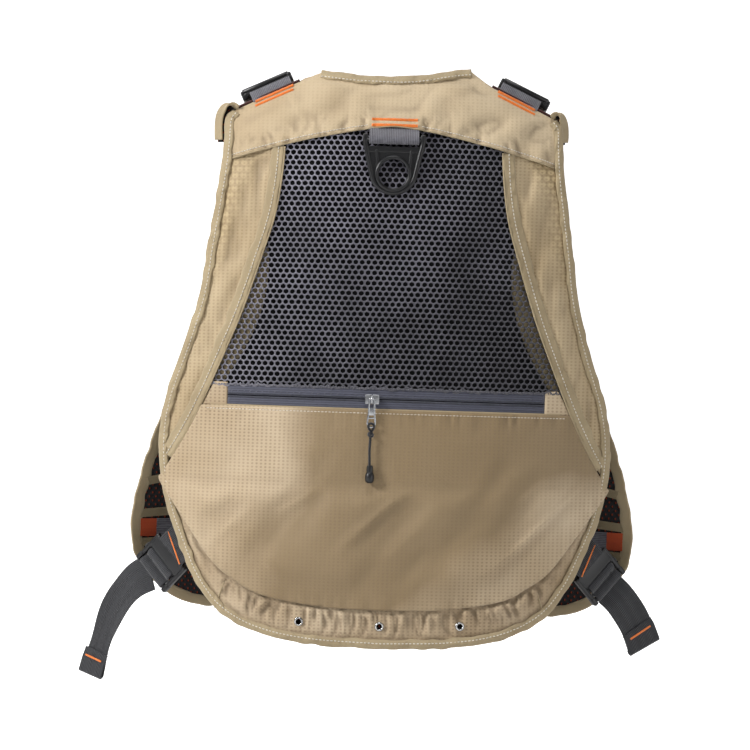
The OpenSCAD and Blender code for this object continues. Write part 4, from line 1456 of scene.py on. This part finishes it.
def wrinkle(ob, amount, size, seed, stretch=(1, 1, 1), where=None):
    """Moves points along their normals by creases of about the given size."""
    me = ob.data
    co = coords(me)
    nor = np.array([v.normal for v in me.vertices])
    p = (co * 1000) * stretch
    h = ridge(p[:, 0] / size + p[:, 1] / size * 0.7, p[:, 2] / size, seed)
    h = h + 0.5 * noise2(p[:, 0] / size * 2.3, (p[:, 2] + p[:, 1]) / size * 2.3, seed + 1)
    if where is not None:
        h = h * where(co * 1000 + ORIGIN)
    me.vertices.foreach_set("co", (co + nor * (h * amount / 1000)[:, None]).ravel())


def dress(ob, mats, body, stands=(), pick=None):
    """Materials, UVs and body for a piece; pick(face centres, normals) chooses the material."""
    me = ob.data
    me.materials.clear()
    for m in mats:
        me.materials.append(M[m])
    me.polygons.foreach_set("material_index", [0] * len(me.polygons))
    if pick:
        c = np.array([f.center for f in me.polygons]) * 1000 + ORIGIN
        n = np.array([f.normal for f in me.polygons])
        me.polygons.foreach_set("material_index", pick(c, n).astype(int))
    box_uv(ob)
    if stands:
        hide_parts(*stands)
    if body:
        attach(ob, body)


def copy_node(node, name):
    ob = bpy.data.objects.new(name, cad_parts[node].data.copy())
    SCENE.collection.objects.link(ob)
    return ob


def mirrored_copy(ob, name):
    new = bpy.data.objects.new(name, ob.data.copy())
    SCENE.collection.objects.link(new)
    bm = bmesh.new()
    bm.from_mesh(new.data)
    for v in bm.verts:
        v.co.x = -v.co.x
    bmesh.ops.reverse_faces(bm, faces=bm.faces)
    bm.to_mesh(new.data)
    bm.free()
    return new


def inner_side(side):
    """Picks the body side of a shoulder pad, which is lined with air mesh."""
    a, b = arch(np.array([-60.0, 60.0]), np.array([90.0, 90.0]), -ARCH_R, side)
    axis = unit(b - a)

    def pick(c, n):
        out = c - a
        out = unit(out - (out @ axis)[:, None] * axis)
        return (n * out).sum(1) < -0.35
    return pick


def bend(ob, start, end):
    """Bakes a piece's transform into its mesh; start and end, in mm, are not used."""
    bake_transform(ob)


def shoulder_bend(ob, sign, lift):
    bend(ob, arch(8.0, 110.0, lift, sign), arch(8.0, 162.0, lift, sign))


for node, name, voxel, cap in (("shoulder_strap", "shoulder_pad", 5, 5),
                               ("shoulder_cap", "yoke_pad", 4, 3.5)):
    left = copy_node(node + "_left", name + "_left")
    puff(left, voxel, cap)
    wrinkle(left, 0.8, 17, 200 + voxel)
    right = mirrored_copy(left, name + "_right")
    for (sign, side), ob in zip(SIDES, (left, right)):
        dress(ob, ["khaki", "lining"], "back" if node == "shoulder_cap" else None,
              (node + "_" + side,), inner_side(sign))
        if node == "shoulder_strap":
            shoulder_bend(ob, sign, -4)


# ---------- shoulder edge tapes, webbing and buckles ----------
to_buckle = mapper(rot("X", 98) @ rot("Y", -90), [8, -14.4, 6.1])


for sign, side in SIDES:
    to = lambda v, s=sign: shoulder(to_buckle(v), s)
    ladder("shoulder_ladder_" + side, 44, to, "shoulder_buckle_" + side,
           ("shoulder_buckle_" + side,), hood=True)
    threaded("shoulder_adjuster_" + side, 43, to, "shoulder_buckle_" + side, (9.8, -2.4))
    # the anchor webbing rises from the yoke's top edge and turns round the first bar
    loop = np.vstack([[(4, -3.5), (-0.5, 0.4), (-4.5, 4.4), (-9, 7.8)],
                      arc_points(-14.4, 6.1, 3.2, 95, 265, 10), [(-9, 0.6), (-4, -2.2)]])
    strap("shoulder_anchor_" + side, lift3(smooth_path(loop, 4), "yz") + [5, 0, 0], (1, 0, 0), 44,
          "back", "web_light", to=lambda v, s=sign: shoulder(v, s),
          stands=("shoulder_loop_" + side,), rib=0.2)
    deg = np.linspace(101.5, 168, 80)
    lift = np.interp(deg, [101.5, 103, 104.8, 107, 111, 117, 168],
                     [3.6, 7.4, 8.8, 8.2, 6.2, 4.6, 4.2])
    lift = lift + 0.5 * np.sin(deg / 6) * step01(deg, 112, 120)
    line = arch(8.0, deg, lift + 1.2, sign)
    across = arch(9.0, deg, lift, sign) - arch(8.0, deg, lift, sign)
    web = strap("shoulder_webbing_" + side, line, across, 44, None,
                stands=("shoulder_web_" + side,), rib=0.2)
    shoulder_bend(web, sign, 0)
    # the armhole tape folds over the padding beside the shoulder
    wide, drop = (1.0, 34) if side == "left" else (0.72, 26)
    fold = np.array([(160, 52, 541), (166, 51, 545), (173, 49, 543.5), (178, 47, 536),
                     (179.5, 46, 525), (179, 45, 543.5 - drop)])
    fold[:, 0] = 160 + (fold[:, 0] - 160) * wide
    flap = smooth_path(fold, 6)
    strap("armhole_flap_" + side, flap * [sign, 1, 1], (-0.62 * sign, 0.78, 0), 13, "back",
          "binding", thick=1.8, rib=0.0)
    strap("armhole_flap_lining_" + side, (flap[8:] - [4.0, 3, 2]) * [sign, 1, 1],
          (-0.9 * sign, 0.43, 0), 11, "back", "lining", thick=1.6, rib=0.0)
    # the lining's dark edge shows along the top of the shoulder
    x = np.linspace(98, 160, 40)
    rim_line = back_xyz(x, 582.2 - 42 * (x - 76) / 90, -2.0) * [sign, 1, 1]
    wire("shoulder_edge_" + side, rim_line, 1.5, 1.5, (0, 1, 0), "back", "maroon", n=8)


# ---------- front panels ----------
FRONT_EDGE = np.vstack([[(57, 479.5), (28, 425), (15.5, 402), (14, 388)],
                        [(14, z) for z in (330, 260, 190, 120, 60)],
                        [(14, 46), (16.5, 37), (22, 32), (31, 30)],
                        [(70, 29), (110, 28)], front_edge[::-1]])


def shell_out(x, z, e):
    folds = 1.6 * noise2(x / 30 + z / 90, z / 60, 101) + 0.8 * noise2(x / 12, z / 22, 102)
    return -0.2 + step01(e, 9, 20) * (0.8 + np.clip(folds, -0.8, 2.5))


BRICK_Z = 108.5
for sign, side in SIDES:
    body = "front_" + side
    sheet("front_padding_" + side, inset(FRONT_EDGE, 2.5), 5, front_xyz,
          lambda x, z, e: -3.2 + soft(x, z, 105, 30, 0.5, 0.1), 2.4, body, "lining",
          ("front_lining_" + side,), side=sign)
    sheet("front_cloth_" + side, inset(FRONT_EDGE, 2.5), 3, front_xyz, shell_out, 1.2, body,
          "khaki", stands=("front_shell_" + side,), side=sign)
    bind("front_edge_tape_" + side, FRONT_EDGE, front_xyz, 10.5, -7.2, 2.4, body, side=sign,
         stands=("front_binding_" + side,), seed=110, toward=(110, 230), rough=0.7)
    # a seam band joins the padded strap to the panel's top edge
    x = np.linspace(54, 117, 24)
    z = 481 - (x - 57) * 0.48
    band = front_xyz(x, z, 0.4)
    up = front_xyz(x + 2.2, z + 4.5, 0.4) - front_xyz(x - 2.2, z - 4.5, 0.4)
    strap("shoulder_seam_" + side, band * [sign, 1, 1], up * [sign, 1, 1], 19, body, "binding",
          thick=5.0, rib=0.0)
    # inside: cloth strips and a webbing block by the side edge
    for k, (z0, z1) in enumerate(((155, 168), (123, 128), (93, 96))):
        strip = np.array([(196, z1 - 4.4), (253, z0 - 4.4), (253, z0 + 4.4), (196, z1 + 4.4)])
        sheet("inside_strip_%s_%d" % (side, k), strip, 3, front_xyz,
              lambda x, z, e: -5.9 + 0.35 * noise2(x / 6, z / 4, 120), 0.9, body, "inner",
              side=sign)
    for tag, x0, x1, mat in (("brick", 235, 251, "brick"), ("slate", 212, 235.5, "web_light")):
        x = np.linspace(x0, x1, 12)
        line = front_xyz(x, BRICK_Z + 0 * x, -6.6) * [sign, 1, 1]
        strap("inside_%s_%s" % (tag, side), line, (0, 0, 1), 18.5, body, mat,
              thick=1.3, pitch=1.5, rib=0.1)


# ---------- front pockets ----------
def rounded_box(box, r, d=0.0):
    """A rectangle (x0, x1, z0, z1) inset by d, with corners of radius r."""
    x0, x1, z0, z1 = box[0] + d, box[1] - d, box[2] + d, box[3] - d
    pts = []
    for cx, cz, a in ((x1 - r, z1 - r, 0), (x0 + r, z1 - r, 90), (x0 + r, z0 + r, 180),
                      (x1 - r, z0 + r, 270)):
        turn = [math.radians(a + k * 15) for k in range(7)]
        pts += [(cx + r * math.cos(g), cz + r * math.sin(g)) for g in turn]
    return np.array(pts)


def front_low(x, z, d):
    """The front panel's surface carried straight up, without its lean."""
    return leaning(x, z, d, 1e6, FRONT_LEAN_R, -1)


def outer_d(tree, x, z, high):
    """How far the pocket's face stands off the panel at x, z."""
    start = high + 25.0
    out = []
    for a, b in zip(x, z):
        p0, p1 = place(front_low(a, b, [start, 0.0]))
        hit = tree.ray_cast(Vector(p0), Vector(p1 - p0).normalized(), 0.06)
        out.append(high if hit[0] is None else start - hit[3] * 1000)
    return np.array(out)


# each pocket's rectangle on the panel and how far it stands off it
POCKETS = {"chest": ([36, 128, 268, 392], 24.0), "lower": ([40, 190, 58, 232], 30.0)}
for kind, (box, high) in POCKETS.items():
    block = sheet(kind + "_bag_left", rounded_box(box, 15, 1.5), 6, front_low, high - 3.5,
                  high - 4.5, None, "khaki")
    # the back of the bag stays on the panel, and the cloth stays flat by the zip
    puff(block, 6, 6, hold=lambda p, h=high: step01(
        WRAP + h - np.hypot(p[:, 0], p[:, 1] + AXIS_Y), h, h * 0.4))
    zip_z = box[3] - 24
    wrinkle(block, 1.5, 24, 230, (1, 0.3, 0.6),
            lambda p, at=zip_z: step01(np.abs(p[:, 2] - at), 6, 16))
    mirror = mirrored_copy(block, kind + "_bag_right")
    for (sign, side), ob in zip(SIDES, (block, mirror)):
        dress(ob, ["khaki"], "front_" + side, ("%s_pocket_%s" % (kind, side),))
    tree = BVHTree.FromPolygons([v.co[:] for v in block.data.vertices],
                                [p.vertices[:] for p in block.data.polygons])
    x = np.linspace(box[0] + 13, box[1] - 13, 60)
    d = outer_d(tree, x, zip_z + 0 * x, high)
    line, nor = on_surface(front_low, x, zip_z + 0 * x, d)
    lip_d = outer_d(tree, x, zip_z + 6.2 + 0 * x, high)
    edge = rounded_box(box, 15, 4.5)
    edge = resample(np.vstack([edge, edge[:1]]), 2.5)
    ed = outer_d(tree, edge[:, 0], edge[:, 1], high)
    piping, pn = on_surface(front_low, edge[:, 0], edge[:, 1], ed)
    for sign, side in SIDES:
        body, flip = "front_" + side, np.array([sign, 1, 1])
        tag = "%s_%s" % (kind, side)
        sweep(tag + "_zip_tape", (line + 0.8 * nor) * flip, nor * flip, flat_strip(11, 2.4, 0.5),
              body, "zip")
        for k, dz in enumerate((-1.6, 1.6)):
            coil(tag + "_coil_%d" % k, zip_z + dz, box[0] + 14, box[1] - 14,
                 lambda cx, cz, cd: front_low(cx, cz, np.interp(cx, x, d) + cd), 1.3, body,
                 side=sign)
        for k, dz in enumerate((-6.2, 6.2)):
            lip = front_low(x, zip_z + dz + 0 * x, (lip_d if dz > 0 else d) + 0.8)
            wire(tag + "_zip_lip_%d" % k, lip * flip, 1.3, 1.1, nor * flip, body, "binding")
        wire(tag + "_piping", (piping + 0.2 * pn) * flip, 1.2, 1.2, pn * flip, body, "binding")
        # slider in its own frame, square to the pocket's face
        rest = box[0] + 20.0
        turn_z = 180 + math.degrees(math.asin(rest / (WRAP + high)))
        face = float(np.interp(rest, x, d)) if kind == "chest" else float(d.max()) - 0.2
        slide = mapper(rot("Z", turn_z), front_low(rest, zip_z, face), sign)
        s = Solid()
        s.box((12, 1.4, 8.4), (0, 2.4, 0), r=0.6, seg=3)
        s.box((10, 1.2, 7.6), (0, -0.9, 0), r=0.5)
        s.box((2.4, 2.2, 5.4), (0, 3.9, 0), r=0.6)
        s.box((6.4, 1.3, 17), (0, 5.0, -10.5), r=0.6, seg=3)
        s.box((8.0, 1.5, 8), (0, 5.0, -19.5), r=0.7, seg=3)
        slider = "%s_slider_%s" % (kind, side)
        s.done("%s_zip_pull_%s" % (kind, side), slide, slider, "steel", stands=(slider,))


# ---------- chest strap and side-release buckle ----------
CHEST_Z, STRAP_Y = 250.0, -DEPTH - 4.4
for sign, side in SIDES:
    body = "front_" + side
    p = [(10.5, 1.6), (13, -0.6), (20, -0.4), (28, 0), (38, 0.8)]
    p = lift3(smooth_path(p, 6)) + [0, STRAP_Y, CHEST_Z]
    ob = strap("chest_webbing_" + side, p * [sign, 1, 1], (0, 0, 1), 20,
               body if side == "left" else None, stands=("chest_strap_" + side,))
    if side == "right":
        # the plug's band is made without a body and its transform is baked into the mesh
        bend(ob, [-15.0, STRAP_Y, CHEST_Z],
             [-27.0, STRAP_Y, CHEST_Z])
    corners = [(27, -7), (36, -7), (36, 7), (27, 7), (27, -7)]
    path = lift3(corners, "xz", -1.3) * [sign, 1, 1] + [0, STRAP_Y, CHEST_Z]
    path = resample(path, 1.0)
    stitches("chest_stitch_" + side, path, np.tile([0.0, -1, 0], (len(path), 1)), body, 2.6, 1.9,
             0.4, 0.3, "orange")
mid = mapper(np.eye(3), (0, -DEPTH - 4.7, CHEST_Z))
S = Solid()
for y in (-3.6, 3.4):
    S.box((9.0, 1.5, 29), (7.7, y, 0), r=0.7, seg=3)
for z in (-13.2, 13.2):
    S.box((9.6, 8.4, 3.4), (7.8, 0, z), r=1.3, seg=3)
S.box((2.2, 3.0, 26), (11.4, 0.6, 0), r=0.8)
S.done("chest_socket", mid, "front_left", "plastic", stands=("buckle_socket",))
S = Solid()
S.box((4.4, 7.6, 29), (-10.3, 0, 0), r=1.4, seg=3)
for z in (-9.5, 0, 9.5):
    S.box((6.4, 3.4, 2.6), (-6.1, 0, z), r=0.7, seg=2)
S.done("chest_plug", mid, "buckle_plug", "plastic", stands=("buckle_plug",))


# ---------- webbing from each front panel to its side buckle ----------
for sign, side in SIDES:
    bar = unit(side_strap_at([(0, 0, 1)], 1) - side_strap_at([(0, 0, 0)], 1))[0]
    ends = side_strap_at([(26, -6.5, 0), (23, -3.9, 0)], 1)
    path = np.vstack([[(226, -24, 82), (232, -18, 81), (237, -4, 78), (237, 12, 75)], ends])
    across = np.vstack([np.tile([0.0, 0, 1], (2, 1)), [0.2 * bar + [0, 0, 0.9]],
                        [0.6 * bar + [0, 0, 0.4]], np.tile(bar, (2, 1))])
    line = smooth_path(np.hstack([path, across]), 6)
    ob = strap("side_webbing_" + side, line[:, :3] * [sign, 1, 1], line[:, 3:] * [sign, 1, 1],
               34, None, stands=("side_strap_" + side,))
    bend(ob, side_strap_at([(24, -4, 0)], sign), [232 * sign, -18, 81])


# ---------- studio ----------
def light(name, at, aim, power, size):
    data = bpy.data.lights.new(name, "AREA")
    data.energy = power
    data.shape = "DISK"
    data.size = size
    ob = bpy.data.objects.new(name, data)
    SCENE.collection.objects.link(ob)
    ob.location = at
    ob.rotation_euler = (Vector(aim) - Vector(at)).to_track_quat("-Z", "Y").to_euler()


def camera_only(tree, factor, base, socket):
    """Sets a socket to base, plus factor for what the camera sees directly."""
    seen = tree.nodes.new("ShaderNodeLightPath").outputs["Is Camera Ray"]
    level = tree.nodes.new("ShaderNodeMath")
    level.operation = "MULTIPLY_ADD"
    level.inputs[1].default_value, level.inputs[2].default_value = factor, base
    tree.links.new(seen, level.inputs[0])
    tree.links.new(level.outputs[0], socket)


def studio():
    """A floor that curves up into a backdrop behind the vest, and four soft lights."""
    floor_z = float(place([0, 0, -75])[0, 2])
    half_width, front_y, wall_y, curve = 12.0, 12.0, -4.4, 1.2
    rows = [(front_y, floor_z)]
    rows += [(wall_y - curve * math.sin(a), floor_z + curve * (1 - math.cos(a)))
             for a in np.linspace(0, math.pi / 2, 24)]
    rows += [(wall_y - curve, floor_z + 6)]
    v = [(x, y, z) for y, z in rows for x in (-half_width, half_width)]
    f = [(2 * i, 2 * i + 1, 2 * i + 3, 2 * i + 2) for i in range(len(rows) - 1)]
    me = bpy.data.meshes.new("floor")
    me.from_pydata(v, [], f)
    me.polygons.foreach_set("use_smooth", [True] * len(f))
    floor = bpy.data.objects.new("floor", me)
    SCENE.collection.objects.link(floor)
    m = bpy.data.materials.new("floor_paper")
    m.use_nodes = True
    b = m.node_tree.nodes["Principled BSDF"].inputs
    b["Base Color"].default_value = (0.93, 0.93, 0.93, 1)
    b["Roughness"].default_value = 0.9
    b["Emission Color"].default_value = (1, 1, 1, 1)
    # the paper glows a little for the camera only, so it stays white under a soft light
    camera_only(m.node_tree, 0.75, 0.0, b["Emission Strength"])
    me.materials.append(m)
    world = bpy.data.worlds.new("studio")
    world.use_nodes = True
    background = world.node_tree.nodes["Background"].inputs
    background[0].default_value = (1, 1, 1, 1)
    # soft ambient light, but a white backdrop wherever the camera sees past the paper
    camera_only(world.node_tree, 0.7, 0.3, background[1])
    SCENE.world = world
    light("key", (2.5, 1.3, 1.3), (0, 0, -0.15), 95, 0.8)
    light("fill", (-2.4, 1.6, 0.2), (0, 0, -0.2), 14, 1.6)
    light("top", (0.2, 0.7, 2.6), (0, 0, 0), 34, 1.4)
    light("front", (0.6, -2.6, 1.4), (0, 0, -0.2), 34, 1.6)
    SCENE.view_settings.view_transform = "Standard"
    SCENE.view_settings.look = "None"


studio()

# the camera stands behind the wearer and is rolled a little; FIELD metres fill the frame
DIST, FIELD, SENSOR, ROLL = 3.0, 0.75, 36, 1.8
cam = bpy.data.cameras.new("camera")
cam_ob = bpy.data.objects.new("camera", cam)
SCENE.collection.objects.link(cam_ob)
cam.sensor_width = SENSOR
cam.lens = SENSOR * DIST / FIELD
cam.clip_end = 50
cam_ob.location = (0.012, DIST, -0.2015)
cam_ob.rotation_euler = (rot("Z", 180) @ rot("X", 90) @ rot("Z", ROLL)).to_euler()
SCENE.camera = cam_ob
